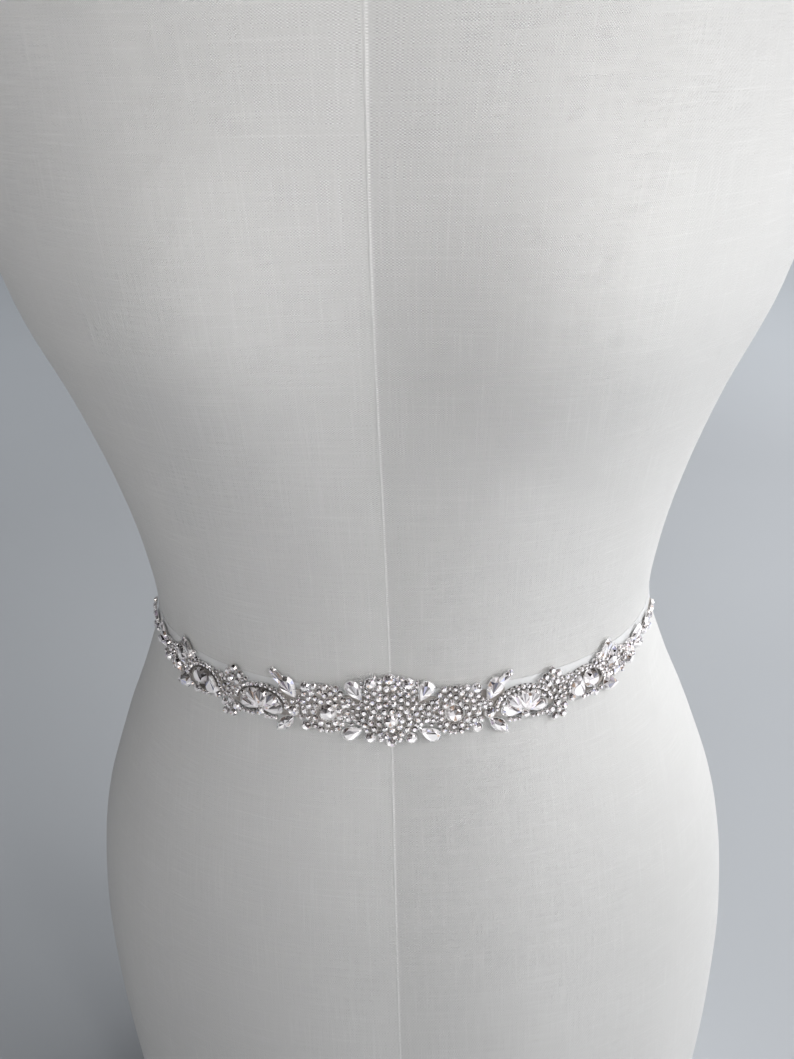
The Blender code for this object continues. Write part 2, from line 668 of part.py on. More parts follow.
def plain_inside(pattern):
    """The inner face: the pattern's rim, filled with a few large triangles. It gives the rim's
    corners, the places of all corners, the rim's first, and the triangles between them."""
    rim = [corner for corner in pattern.verts if corner.is_boundary]
    number = {corner: k for k, corner in enumerate(rim)}
    edges = [tuple(number[corner] for corner in edge.verts)
             for edge in pattern.edges if edge.is_boundary]
    places = [corner.co.to_2d() for corner in rim]
    columns = range(math.ceil(min(place.x for place in places) / CELL),
                    math.ceil(max(place.x for place in places) / CELL))
    rows = range(math.ceil(min(place.y for place in places) / CELL),
                 math.ceil(max(place.y for place in places) / CELL))
    for column in columns:
        for row in rows:
            here = Vector((column * CELL, row * CELL))
            if min((place - here).length for place in places[:len(rim)]) > GRID_MARGIN:
                places.append(here)
    _, _, triangles, sources, *_ = delaunay_2d_cdt(places, edges, [], 1, 1e-4)
    return rim, places, [[sources[k][0] for k in triangle] for triangle in triangles]


def build_motif(name, motif, side):
    """One motif: a plain inner face, an outer face raised in stones, and the edge between."""
    stones = motif_stones(motif)
    arches = [arch for arch in rows_of(ARCHES, ARCH_COLUMNS) if arch["motif"] == motif]
    beads = [stone for stone in stones if stone["cut"] == "bead"]
    pattern = flat_pattern(motif, *motif_outlines(motif, stones, arches), beads)
    inside = RIBBON_GAP + RIBBON_WALL + SEAM_GAP
    shape = bmesh.new()
    outer = {}
    for corner in pattern.verts:
        along, up, _ = corner.co
        height = motif_height(motif, stones, arches, along, up)
        outer[corner] = shape.verts.new(on_belt(side * along * MM, up * MM, inside + height))
    rim, places, triangles = plain_inside(pattern)
    inner = [shape.verts.new(on_belt(side * along * MM, up * MM, inside)) for along, up in places]
    below = dict(zip(rim, inner))
    for triangle in triangles:
        shape.faces.new([inner[k] for k in reversed(triangle)])
    for face in pattern.faces:
        shape.faces.new([outer[corner] for corner in face.verts])
    for edge in pattern.edges:
        if edge.is_boundary:
            a, b = edge.verts
            shape.faces.new((below[a], below[b], outer[b], outer[a]))
    unused = [corner for corner in inner if not corner.link_faces]
    bmesh.ops.delete(shape, geom=unused, context="VERTS")
    pattern.free()
    add_object(name, shape, "crystal")


def main():
    clear_scene()
    build_dress_form()
    build_ribbon_band()
    build_knot()
    build_tail("ribbon_tail_left", -1)
    build_tail("ribbon_tail_right", 1)
    build_motif("applique_medallion", "medallion", 1)
    for side, word in ((-1, "left"), (1, "right")):
        for motif in SIDE_MOTIFS:
            build_motif(f"applique_{motif}_{word}", motif, side)
    bpy.context.view_layer.update()


main()
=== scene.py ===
# %% [markdown]
# # A bridal sash on a dress form
# A bridal sash is a narrow satin ribbon with a rhinestone applique sewn along its front. This one
# is tied round the waist of a limbless dress form that is covered in linen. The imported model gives
# plain solids in their true places. Here they are dressed: finer shapes, cloth, stones and light.

# %% load the frame
import math
import random

import bmesh
import bpy
from mathutils import Euler, Matrix, Vector


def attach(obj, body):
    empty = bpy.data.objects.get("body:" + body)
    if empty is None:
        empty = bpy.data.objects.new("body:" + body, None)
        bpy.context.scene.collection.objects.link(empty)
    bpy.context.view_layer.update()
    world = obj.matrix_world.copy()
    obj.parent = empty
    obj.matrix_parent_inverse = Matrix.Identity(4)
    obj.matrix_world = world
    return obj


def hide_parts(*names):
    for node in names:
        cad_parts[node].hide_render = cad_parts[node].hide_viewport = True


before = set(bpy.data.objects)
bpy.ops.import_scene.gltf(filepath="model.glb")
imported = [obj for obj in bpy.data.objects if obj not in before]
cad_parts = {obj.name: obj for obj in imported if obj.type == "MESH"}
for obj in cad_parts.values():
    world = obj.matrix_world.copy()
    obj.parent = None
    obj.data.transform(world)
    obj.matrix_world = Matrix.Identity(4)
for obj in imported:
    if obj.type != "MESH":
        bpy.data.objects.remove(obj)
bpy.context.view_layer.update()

print("solids to dress:", len(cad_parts))

# %% [markdown]
# ## The form's surface
# A dress form is a smooth body, so a few level sections say all about it. Each section is a soft
# oval with its own width and depth, and a curve through the sections fills in the heights between
# them. A sculpted mesh would also do, but then nothing could be laid on it by measure: the ribbon
# and each stone are placed on this same surface, a known distance out.

# %% level sections, waist at height 0
MM = 0.001
WAIST_HEIGHT = 0.360                  # metres from the base up to the waist
SECTION_COLUMNS = ("height", "half_width", "front", "back", "squareness")
FORM_SECTIONS = (
    (-0.360, 0.1520, 0.1110, 0.1170, 0.94),
    (-0.354, 0.1570, 0.1155, 0.1220, 0.94),
    (-0.340, 0.1600, 0.1180, 0.1250, 0.94),
    (-0.300, 0.1635, 0.1200, 0.1290, 0.94),
    (-0.240, 0.1680, 0.1215, 0.1320, 0.94),
    (-0.180, 0.1685, 0.1210, 0.1270, 0.94),
    (-0.120, 0.1610, 0.1175, 0.1120, 0.93),
    (-0.070, 0.1445, 0.1120, 0.0940, 0.92),
    (-0.035, 0.1300, 0.1065, 0.0815, 0.92),
    (0.000, 0.1195, 0.1030, 0.0760, 0.92),
    (0.035, 0.1230, 0.1035, 0.0785, 0.92),
    (0.070, 0.1320, 0.1065, 0.0840, 0.93),
    (0.110, 0.1465, 0.1110, 0.0915, 0.94),
    (0.150, 0.1650, 0.1160, 0.0990, 0.95),
    (0.190, 0.1755, 0.1190, 0.1060, 0.95),
    (0.230, 0.1800, 0.1150, 0.1100, 0.93),
    (0.270, 0.1830, 0.1060, 0.1100, 0.90),
    (0.300, 0.1825, 0.0960, 0.1040, 0.90),
    (0.325, 0.1740, 0.0860, 0.0930, 0.92),
    (0.345, 0.1540, 0.0770, 0.0810, 0.94),
    (0.362, 0.1200, 0.0680, 0.0710, 0.96),
    (0.378, 0.0860, 0.0600, 0.0630, 0.98),
    (0.398, 0.0640, 0.0540, 0.0575, 1.00),
    (0.436, 0.0570, 0.0510, 0.0540, 1.00),
    (0.452, 0.0560, 0.0500, 0.0530, 1.00),
    (0.458, 0.0515, 0.0455, 0.0485, 1.00),
)


def rows_of(table, columns):
    """Each row of a table as a dictionary, so that a value is asked for by its column's name."""
    return [dict(zip(columns, row)) for row in table]


SECTIONS = rows_of(FORM_SECTIONS, SECTION_COLUMNS)
print("sections:", len(SECTIONS))

# %% a smooth curve through the sections
def smooth_value(height, column):
    """One column of the section table at any height, on a smooth curve through its rows."""
    last = len(SECTIONS) - 1
    height = min(max(height, SECTIONS[0]["height"]), SECTIONS[last]["height"])
    i = 0
    while i < last - 1 and SECTIONS[i + 1]["height"] < height:
        i += 1

    def slope(k):
        a, b = SECTIONS[max(k - 1, 0)], SECTIONS[min(k + 1, last)]
        return (b[column] - a[column]) / (b["height"] - a["height"])

    low, high = SECTIONS[i], SECTIONS[i + 1]
    span = high["height"] - low["height"]
    t = (height - low["height"]) / span
    rise = 3 * t ** 2 - 2 * t ** 3
    return (low[column] * (1 - rise) + high[column] * rise
            + span * (slope(i) * (t ** 3 - 2 * t ** 2 + t) + slope(i + 1) * (t ** 3 - t ** 2)))


print("half of the waist, mm:", round(1000 * smooth_value(0.0, "half_width"), 1))

# %% a point of the form, and the way out of it
BUST_APEX_ACROSS, BUST_APEX_HEIGHT = 0.086, 0.160
BUST_FORWARD, BUST_WIDTH, BUST_RISE = 0.020, 0.054, 0.058


def form_point(angle, height):
    """A point of the form: angle 0 is the centre front, +90 degrees its left side (+X)."""
    power = smooth_value(height, "squareness")
    across = math.copysign(abs(math.sin(angle)) ** power, math.sin(angle))
    ahead = math.copysign(abs(math.cos(angle)) ** power, math.cos(angle))
    x = smooth_value(height, "half_width") * across
    y = -smooth_value(height, "front" if ahead > 0 else "back") * ahead
    if ahead > 0:
        level = math.exp(-((height - BUST_APEX_HEIGHT) / BUST_RISE) ** 2)
        for apex in (-BUST_APEX_ACROSS, BUST_APEX_ACROSS):
            y -= BUST_FORWARD * ahead * level * math.exp(-((x - apex) / BUST_WIDTH) ** 2)
    return Vector((x, y, WAIST_HEIGHT + height))


def form_normal(angle, height):
    step_round, step_up = math.radians(0.5), 0.001
    round_way = form_point(angle + step_round, height) - form_point(angle - step_round, height)
    up_way = form_point(angle, height + step_up) - form_point(angle, height - step_up)
    return round_way.cross(up_way).normalized()


# %% [markdown]
# ## A camera close to the waist
# The sash is seen from a little above, near enough that the hips and the chest widen with
# perspective. A lens and a distance fix how strong that is. The camera's place is worked out
# backwards from where the middle of the waist should fall in the frame.

# %% camera
LENS, SENSOR = 40.0, 36.0             # mm
FRAME_PIXELS = (794, 1059)
WAIST_PIXEL = (403, 578)              # where the middle of the waist falls in the frame
CAMERA_DISTANCE = 0.585
CAMERA_PITCH, CAMERA_TURN, CAMERA_ROLL = 25.4, 4.0, -1.75     # degrees


def camera_place():
    turn, pitch, roll = (math.radians(a) for a in (CAMERA_TURN, CAMERA_PITCH, CAMERA_ROLL))
    ahead = Vector((-math.sin(turn) * math.cos(pitch), math.cos(turn) * math.cos(pitch),
                    -math.sin(pitch)))
    level = Vector((math.cos(turn), math.sin(turn), 0.0))
    above = level.cross(ahead)
    right = level * math.cos(roll) + above * math.sin(roll)
    up = above * math.cos(roll) - level * math.sin(roll)
    per_pixel = CAMERA_DISTANCE / (LENS / SENSOR * FRAME_PIXELS[1])
    place = Vector((0.0, 0.0, WAIST_HEIGHT)) - ahead * CAMERA_DISTANCE
    place -= right * (WAIST_PIXEL[0] - FRAME_PIXELS[0] / 2) * per_pixel
    place += up * (WAIST_PIXEL[1] - FRAME_PIXELS[1] / 2) * per_pixel
    turned = Matrix((right, up, -ahead)).transposed().to_4x4()
    return Matrix.Translation(place) @ turned


lens = bpy.data.cameras.new("camera")
lens.lens = LENS
lens.sensor_width = SENSOR
lens.clip_start = 0.01
camera = bpy.data.objects.new("camera", lens)
camera.matrix_world = camera_place()
bpy.context.scene.collection.objects.link(camera)
bpy.context.scene.camera = camera
print("camera at", [round(x, 3) for x in camera.matrix_world.translation])

# %% [markdown]
# ## Helpers for materials
# A material is a small tree of nodes. These helpers keep that tree readable: one adds a sum, one
# starts a group that several materials share, and one starts a material with a Principled shader
# whose plain numbers are set on its own sockets.

# %% feed a socket
def feed(tree, socket, given):
    """Link an output to a socket, or set the socket to a plain value."""
    if isinstance(given, bpy.types.NodeSocket):
        tree.links.new(given, socket)
    else:
        socket.default_value = given


def number(tree, operation, *inputs):
    node = tree.nodes.new("ShaderNodeMath")
    node.operation = operation
    for socket, given in zip(node.inputs, inputs):
        feed(tree, socket, given)
    return node.outputs[0]


def texture_place(tree, output):
    return tree.nodes.new("ShaderNodeTexCoord").outputs[output]


print("sockets can be fed")

# %% noise, ranges and colours
def noise(tree, vector, scale, detail=2.0):
    node = tree.nodes.new("ShaderNodeTexNoise")
    node.inputs["Scale"].default_value = scale
    node.inputs["Detail"].default_value = detail
    tree.links.new(vector, node.inputs["Vector"])
    return node.outputs["Fac"]


def remap(tree, value, low, high, to_low, to_high):
    node = tree.nodes.new("ShaderNodeMapRange")
    node.interpolation_type = "SMOOTHSTEP"
    for name, given in zip(("Value", "From Min", "From Max", "To Min", "To Max"),
                           (value, low, high, to_low, to_high)):
        feed(tree, node.inputs[name], given)
    return node.outputs["Result"]


def colour_ramp(tree, value, stops, steps=False):
    node = tree.nodes.new("ShaderNodeValToRGB")
    ramp = node.color_ramp
    ramp.interpolation = "CONSTANT" if steps else "LINEAR"
    while len(ramp.elements) < len(stops):
        ramp.elements.new(0.5)
    for element, (place, colour) in zip(ramp.elements, stops):
        element.position = place
        element.color = (*colour, 1.0)
    tree.links.new(value, node.inputs["Fac"])
    return node.outputs["Color"]


def tinted(tree, colour, tone):
    """A colour made lighter or darker by a tone that is 1 where it stays as it is."""
    node = tree.nodes.new("ShaderNodeVectorMath")
    node.operation = "SCALE"
    feed(tree, node.inputs[0], colour)
    feed(tree, node.inputs["Scale"], tone)
    return node.outputs[0]


print("noise, ranges and colours ready")

# %% groups and materials
FLOAT, VECTOR, COLOUR = "NodeSocketFloat", "NodeSocketVector", "NodeSocketColor"


def start_group(name, inputs, outputs):
    """A node group with named sockets. It returns the group, its input node and its output node."""
    group = bpy.data.node_groups.new(name, "ShaderNodeTree")
    for socket, kind, value in inputs:
        made = group.interface.new_socket(socket, in_out="INPUT", socket_type=kind)
        if value is not None:
            made.default_value = value
    for socket, kind in outputs:
        group.interface.new_socket(socket, in_out="OUTPUT", socket_type=kind)
    return group, group.nodes.new("NodeGroupInput"), group.nodes.new("NodeGroupOutput")


def use_group(tree, group, **values):
    node = tree.nodes.new("ShaderNodeGroup")
    node.node_tree = group
    for name, given in values.items():
        feed(tree, node.inputs[name.replace("_", " ")], given)
    return node


def start_material(name, **constants):
    material = bpy.data.materials.new(name)
    material.use_nodes = True
    tree = material.node_tree
    shader = tree.nodes["Principled BSDF"]
    for socket, value in constants.items():
        shader.inputs[socket.replace("_", " ")].default_value = value
    return material, tree, shader


def add_bump(tree, shader, height, distance, strength=1.0):
    bump = tree.nodes.new("ShaderNodeBump")
    bump.inputs["Distance"].default_value = distance
    bump.inputs["Strength"].default_value = strength
    tree.links.new(height, bump.inputs["Height"])
    tree.links.new(bump.outputs["Normal"], shader.inputs["Normal"])


print("groups and materials can be started")

# %% [markdown]
# ## Woven cloth
# Linen and satin are both crossed threads. Two sines multiplied are high where the thread one way
# lies on top and low where the other does, like the squares of a chessboard. Each thread is given
# its own thickness, and long stretched noise gives the slubs: stretches of yarn that were spun
# thicker. The group is shared, and each cloth sets its own thread pitch. It reads the piece's flat
# cut, its UV map in metres, so that the weave follows the cloth.

# %% woven cloth group
THREAD_CHANGE = 60.0              # how often in a metre a thread changes its thickness
FIBRE_SCALE = 1400.0              # loose fibre ends, much finer than the threads


def thread_line(group, across, along):
    """A place whose X counts threads and whose Y runs along them, to draw stretched noise from."""
    line = group.nodes.new("ShaderNodeCombineXYZ")
    feed(group, line.inputs["X"], across)
    feed(group, line.inputs["Y"], along)
    return line.outputs[0]


def woven_cloth():
    group, given, out = start_group(
        "woven cloth",
        [("Cut", VECTOR, None), ("Warp Pitch", FLOAT, 0.0006), ("Weft Pitch", FLOAT, 0.0006),
         ("Slub", FLOAT, 0.1), ("Slub Length", FLOAT, 0.03), ("Relief", FLOAT, 0.1)],
        [("Height", FLOAT), ("Tone", FLOAT)])
    split = group.nodes.new("ShaderNodeSeparateXYZ")
    group.links.new(given.outputs["Cut"], split.inputs[0])
    u, v = split.outputs["X"], split.outputs["Y"]
    waves, threads, slubs = [], [], []
    for across, along, pitch in ((u, v, "Warp Pitch"), (v, u, "Weft Pitch")):
        count = number(group, "DIVIDE", across, given.outputs[pitch])
        waves.append(number(group, "SINE", number(group, "MULTIPLY", count, math.pi)))
        thick = thread_line(group, number(group, "FLOOR", count),
                            number(group, "MULTIPLY", along, THREAD_CHANGE))
        threads.append(remap(group, noise(group, thick, 0.7, 1.0), 0.3, 0.7, 0.3, 1.4))
        slub = thread_line(group, count,
                           number(group, "DIVIDE", along, given.outputs["Slub Length"]))
        slubs.append(remap(group, noise(group, slub, 0.5, 2.0), 0.50, 0.80, -0.12, 1.0))
    crossing = number(group, "MULTIPLY", *waves)
    over = number(group, "MULTIPLY", crossing, number(group, "MULTIPLY", *threads))
    slub = number(group, "MULTIPLY", number(group, "ADD", *slubs), given.outputs["Slub"])
    fibre = number(group, "SUBTRACT", noise(group, given.outputs["Cut"], FIBRE_SCALE, 3.0), 0.5)
    relief = number(group, "MULTIPLY", over, given.outputs["Relief"])
    loose = number(group, "MULTIPLY", fibre, given.outputs["Relief"])
    tone = number(group, "ADD", number(group, "ADD", slub, relief), loose)
    group.links.new(number(group, "ADD", tone, 1.0), out.inputs["Tone"])
    group.links.new(number(group, "ADD", over, slub), out.inputs["Height"])
    return group


WOVEN = woven_cloth()
print("woven cloth:", len(WOVEN.nodes), "nodes")

# %% [markdown]
# ## Handling marks
# Nothing that is worn or stood on stays one even colour. Slow noise stands for dust in the cloth
# and for tarnish on the metal. One group gives the mask, and each finish decides what it changes.

# %% handling marks group
def handling_marks():
    group, given, out = start_group(
        "handling marks",
        [("Place", VECTOR, None), ("Patch", FLOAT, 0.05), ("Low", FLOAT, 0.0),
         ("High", FLOAT, 1.0)],
        [("Mask", FLOAT)])
    size = number(group, "DIVIDE", 1.0, given.outputs["Patch"])
    cloud = group.nodes.new("ShaderNodeTexNoise")
    cloud.inputs["Detail"].default_value = 4.0
    group.links.new(given.outputs["Place"], cloud.inputs["Vector"])
    group.links.new(size, cloud.inputs["Scale"])
    mask = remap(group, cloud.outputs["Fac"], 0.3, 0.7, given.outputs["Low"], given.outputs["High"])
    group.links.new(mask, out.inputs["Mask"])
    return group


MARKS = handling_marks()
print("handling marks:", len(MARKS.nodes), "nodes")

# %% [markdown]
# ## Linen
# The cover is an ivory-grey linen, plain woven at about twenty-two threads to the centimetre. It
# has pale slubs both ways and no shine. A little sheen stands for the fibre ends that catch the
# light. Beside the middle seam one panel is painted a shade darker, painted shade that fades away
# from the seam, and a thin painted highlight runs along that seam's folded edge.

# %% linen
LINEN_COLOUR = (0.495, 0.493, 0.488)
LINEN_THREAD = (0.00045, 0.00047)     # metres from thread to thread, each way
LINEN_SLUB = 0.020                    # metres, how long a slub is
# painted shade beside the middle seam and a painted highlight along its folded edge, both in the
# linen's colour
PAINTED_PANEL_SHADE = 0.105                   # how much darker one panel lies beside the middle seam
PAINTED_SEAM_HIGHLIGHT = 0.15                     # how much lighter the folded edge of that seam is


def painted_seam_light(tree):
    """Painted shade on one panel, which fades away from the middle seam, and a painted highlight
    along its fold.
    """
    split = tree.nodes.new("ShaderNodeSeparateXYZ")
    tree.links.new(texture_place(tree, "UV"), split.inputs[0])
    across = split.outputs["X"]
    past_seam = remap(tree, across, -0.0004, 0.0008, 0.0, PAINTED_PANEL_SHADE)
    fades = remap(tree, across, 0.004, 0.070, 1.0, 0.0)
    shade = number(tree, "SUBTRACT", 1.0, number(tree, "MULTIPLY", past_seam, fades))
    painted_gleam = number(tree, "MULTIPLY", remap(tree, across, -0.0005, -0.0002, 0.0, 1.0),
                   remap(tree, across, 0.0002, 0.0005, PAINTED_SEAM_HIGHLIGHT, 0.0))
    return number(tree, "ADD", shade, painted_gleam)


def make_linen():
    material, tree, shader = start_material("linen", Roughness=0.92, Sheen_Weight=0.12,
                                            Sheen_Roughness=0.6)
    weave = use_group(tree, WOVEN, Cut=texture_place(tree, "UV"), Warp_Pitch=LINEN_THREAD[0],
                      Weft_Pitch=LINEN_THREAD[1], Slub=0.06, Slub_Length=LINEN_SLUB, Relief=0.17)
    dust = use_group(tree, MARKS, Place=texture_place(tree, "Object"), Patch=0.16,
                     Low=0.97, High=1.03)
    tone = number(tree, "MULTIPLY", weave.outputs["Tone"], dust.outputs["Mask"])
    # the painted shade and highlight of the middle seam are multiplied into the linen's colour
    tone = number(tree, "MULTIPLY", tone, painted_seam_light(tree))
    tree.links.new(tinted(tree, LINEN_COLOUR, tone), shader.inputs["Base Color"])
    add_bump(tree, shader, weave.outputs["Height"], 0.00010, 0.6)
    return material


LINEN = make_linen()
print("linen ready")

# %% [markdown]
# ## Satin
# Single-face satin floats its lengthwise threads over several crossings, so it is smooth along the
# ribbon and faintly lined. It shines softly and more one way than the other, hence the anisotropy.

# %% satin
SATIN_COLOUR = (0.590, 0.594, 0.602)
SATIN_THREAD = (0.0009, 0.00022)      # metres between the floats, and from thread to thread


def make_satin():
    material, tree, shader = start_material("satin", Roughness=0.38, Sheen_Weight=0.10,
                                            Sheen_Roughness=0.35, Anisotropic=0.35,
                                            Specular_IOR_Level=0.45)
    weave = use_group(tree, WOVEN, Cut=texture_place(tree, "UV"), Warp_Pitch=SATIN_THREAD[0],
                      Weft_Pitch=SATIN_THREAD[1], Slub=0.015, Slub_Length=0.02, Relief=0.05)
    # slow noise makes the satin a little lighter and darker in patches
    tone_patches = use_group(tree, MARKS, Place=texture_place(tree, "Object"), Patch=0.02,
                        Low=0.96, High=1.03)
    tone = number(tree, "MULTIPLY", weave.outputs["Tone"], tone_patches.outputs["Mask"])
    tree.links.new(tinted(tree, SATIN_COLOUR, tone), shader.inputs["Base Color"])
    add_bump(tree, shader, weave.outputs["Height"], 0.00004, 0.5)
    return material


SATIN = make_satin()
print("satin ready")

# %% [markdown]
# ## Silver settings
# Each stone sits in a stamped cup with small prongs, plated in a silver colour. The plating is
# bright on the prongs and duller in the hollows, so roughness and colour both follow the marks.
# Behind the stones the backing plate is duller. The rim and the plate inside an arch get a nearly
# black finish, painted shadow for the openwork gaps there.

# %% silver and backing
def make_silver(name, bright, dull, roughness, metal):
    material, tree, shader = start_material(name, Metallic=metal)
    marks = use_group(tree, MARKS, Place=texture_place(tree, "Object"), Patch=0.004,
                      Low=0.0, High=1.0)
    tree.links.new(colour_ramp(tree, marks.outputs["Mask"], ((0.0, dull), (1.0, bright))),
                   shader.inputs["Base Color"])
    tree.links.new(remap(tree, marks.outputs["Mask"], 0.0, 1.0, roughness + 0.15, roughness),
                   shader.inputs["Roughness"])
    return material


SILVER = make_silver("silver", (0.90, 0.90, 0.91), (0.62, 0.60, 0.58), 0.22, 0.8)
BACKING = make_silver("silver_backing", (0.46, 0.43, 0.41), (0.30, 0.275, 0.255), 0.42, 0.4)
# painted shadow: a nearly black finish for the openwork gaps inside an arch
PAINTED_SHADOW = make_silver("silver_painted_shadow", (0.15, 0.135, 0.125), (0.08, 0.07, 0.065), 0.50, 0.3)
print("silver ready")

# %% [markdown]
# ## Crystal
# A rhinestone is cut glass with a mirror foil behind it. Light goes in by one facet, bounces off
# the foil and leaves by another, so neighbouring facets look white, grey or nearly black, and a
# few flash a colour. Tracing that through glass is slow and noisy. Here those reflections are
# painted: each facet keeps a chance number of its own, which a ramp turns into a painted
# reflection, white, grey or nearly black, with a few painted coloured flashes, under a clear
# glossy coat.

# %% crystal
# painted reflections: each step is how light or dark a facet is painted, from nearly black to white
PAINTED_REFLECTION_STOPS = ((0.00, (0.14, 0.118, 0.110)), (0.12, (0.34, 0.305, 0.295)),
              (0.24, (0.55, 0.515, 0.510)), (0.38, (0.80, 0.765, 0.780)),
              (0.52, (1.0, 0.975, 0.99)))
# painted coloured flashes on a few facets
PAINTED_FLASH_STOPS = ((0.00, (1.0, 1.0, 1.0)), (0.84, (0.66, 0.52, 0.42)), (0.90, (1.0, 1.0, 1.0)),
              (0.94, (0.72, 0.76, 1.0)), (0.98, (0.95, 0.84, 1.0)))


def painted_facet_reflection():
    group, given, out = start_group("painted facet reflection", [("Facet", FLOAT, 0.5)],
                                    [("Colour", COLOUR), ("Roughness", FLOAT), ("Metal", FLOAT)])
    painted_foil = colour_ramp(group, given.outputs["Facet"], PAINTED_REFLECTION_STOPS, steps=True)
    again = number(group, "FRACT", number(group, "MULTIPLY", given.outputs["Facet"], 17.31))
    fire = colour_ramp(group, again, PAINTED_FLASH_STOPS, steps=True)
    mixed = group.nodes.new("ShaderNodeVectorMath")
    mixed.operation = "MULTIPLY"
    group.links.new(painted_foil, mixed.inputs[0])
    group.links.new(fire, mixed.inputs[1])
    group.links.new(mixed.outputs[0], out.inputs["Colour"])
    group.links.new(remap(group, again, 0.0, 1.0, 0.03, 0.12), out.inputs["Roughness"])
    group.links.new(remap(group, given.outputs["Facet"], 0.25, 0.55, 0.85, 0.25),
                    out.inputs["Metal"])
    return group


PAINTED_REFLECTION = painted_facet_reflection()


def make_crystal():
    material, tree, shader = start_material("crystal", Coat_Weight=1.0, Coat_Roughness=0.02,
                                            Coat_IOR=1.6)
    # the facet attribute carries each facet's painted reflection
    facet = tree.nodes.new("ShaderNodeAttribute")
    facet.attribute_name = "facet"
    fire = use_group(tree, PAINTED_REFLECTION, Facet=facet.outputs["Fac"])
    tree.links.new(fire.outputs["Colour"], shader.inputs["Base Color"])
    tree.links.new(fire.outputs["Roughness"], shader.inputs["Roughness"])
    tree.links.new(fire.outputs["Metal"], shader.inputs["Metallic"])
    return material


CRYSTAL = make_crystal()
print("crystal ready")

# %% [markdown]
# ## Turning a bmesh into a piece
# Every piece ends the same way: its mesh becomes an object at the origin, shaded smooth with its
# folds kept sharp, given its finish, and set to ride on the one body that the part has.

# %% end a shape
def face_outward(shape):
    bmesh.ops.recalc_face_normals(shape, faces=shape.faces[:])


def count_triangles(shape):
    return sum(len(face.verts) - 2 for face in shape.faces)


def to_mesh(shape, name):
    """End a bmesh as a mesh of its own."""
    mesh = bpy.data.meshes.new(name)
    shape.to_mesh(mesh)
    shape.free()
    return mesh


print("shapes can be ended as meshes")

# %% finish a piece
PIECES = []


def finish_piece(name, shape, materials, nodes, sharp=40):
    total = count_triangles(shape)
    mesh = to_mesh(shape, name)
    if sharp:
        mesh.shade_smooth()
        mesh.set_sharp_from_angle(angle=math.radians(sharp))
    for material in materials:
        mesh.materials.append(material)
    piece = bpy.data.objects.new(name, mesh)
    bpy.context.scene.collection.objects.link(piece)
    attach(piece, "root")
    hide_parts(*nodes)
    PIECES.append((name, total))
    print(name, total, "triangles")
    return piece


# %% [markdown]
# ## The linen cover
# The cover is cut in four panels that meet at the centre front, the two sides and the centre back.
# It could be sculpted, but a ring of corners that is extruded upward, section by section, follows
# the form exactly. At a seam one panel laps the other by half a millimetre, so corners stand close
# together there. The UV map is the flat cut: metres from the nearest middle line and metres up.

# %% where the cover's corners stand
COVER_SIDES = 96
SEAM_TURNS = (0.0, 90.0, 180.0, 270.0)
SEAM_STEPS = (-3.2, -1.8, -0.9, -0.4, 0.0, 0.25, 0.8, 1.6)      # mm from the seam
SEAM_CLEAR = 3.6 * MM                 # even corners keep this far from a seam
SEAM_LAP = 0.00010                    # how far the upper panel's edge stands out
SEAM_SOFTNESS = 0.0012
SEAM_REACH = (-4.0 * MM, 0.2 * MM)    # where the lap starts and ends across a seam
SEAM_HEIGHTS = (-0.35, 0.40)          # the panels lie edge to edge below and above these
MEAN_RADIUS = 0.118
COVER_RISE = 0.008


def from_turn(turn, middle):
    """How far a turn is from another one, the short way round."""
    return (turn - middle + math.pi) % math.tau - math.pi


def cover_turns():
    seams = [math.radians(seam) for seam in SEAM_TURNS]
    reach = SEAM_CLEAR / MEAN_RADIUS
    turns = [math.tau * k / COVER_SIDES for k in range(COVER_SIDES)]
    clear = [turn for turn in turns
             if min(abs(from_turn(turn, seam)) for seam in seams) > reach]
    close = [(seam + step * MM / MEAN_RADIUS) % math.tau for seam in seams for step in SEAM_STEPS]
    return sorted(clear + close)


def cover_heights():
    ends = [-0.360, -0.3585, -0.356, -0.352, -0.346, -0.340]
    top = [0.345, 0.354, 0.362, 0.370, 0.378, 0.388, 0.398, 0.410, 0.423, 0.436, 0.446, 0.452,
           0.4555, 0.458]
    count = round((top[0] - ends[-1]) / COVER_RISE)
    middle = [ends[-1] + (top[0] - ends[-1]) * k / count for k in range(1, count)]
    return ends + middle + top


def seam_lap(turn, height):
    """How far a panel's edge stands out: most at the seam's left, and nothing at its right."""
    if height > SEAM_HEIGHTS[1] or height < SEAM_HEIGHTS[0]:
        return 0.0
    for seam in SEAM_TURNS:
        across = from_turn(turn, math.radians(seam)) * MEAN_RADIUS
        if SEAM_REACH[0] < across <= SEAM_REACH[1]:
            return SEAM_LAP * math.exp(-(min(across, 0.0) / SEAM_SOFTNESS) ** 2)
    return 0.0


def cover_point(turn, height):
    return form_point(turn, height) + form_normal(turn, height) * seam_lap(turn, height)


TURNS, HEIGHTS = cover_turns(), cover_heights()
print("cover rings:", len(HEIGHTS), "corners in each:", len(TURNS))

# %% extrude the cover upward
MEASURED_AT = math.pi / 3             # the line up the form along which the panels are measured


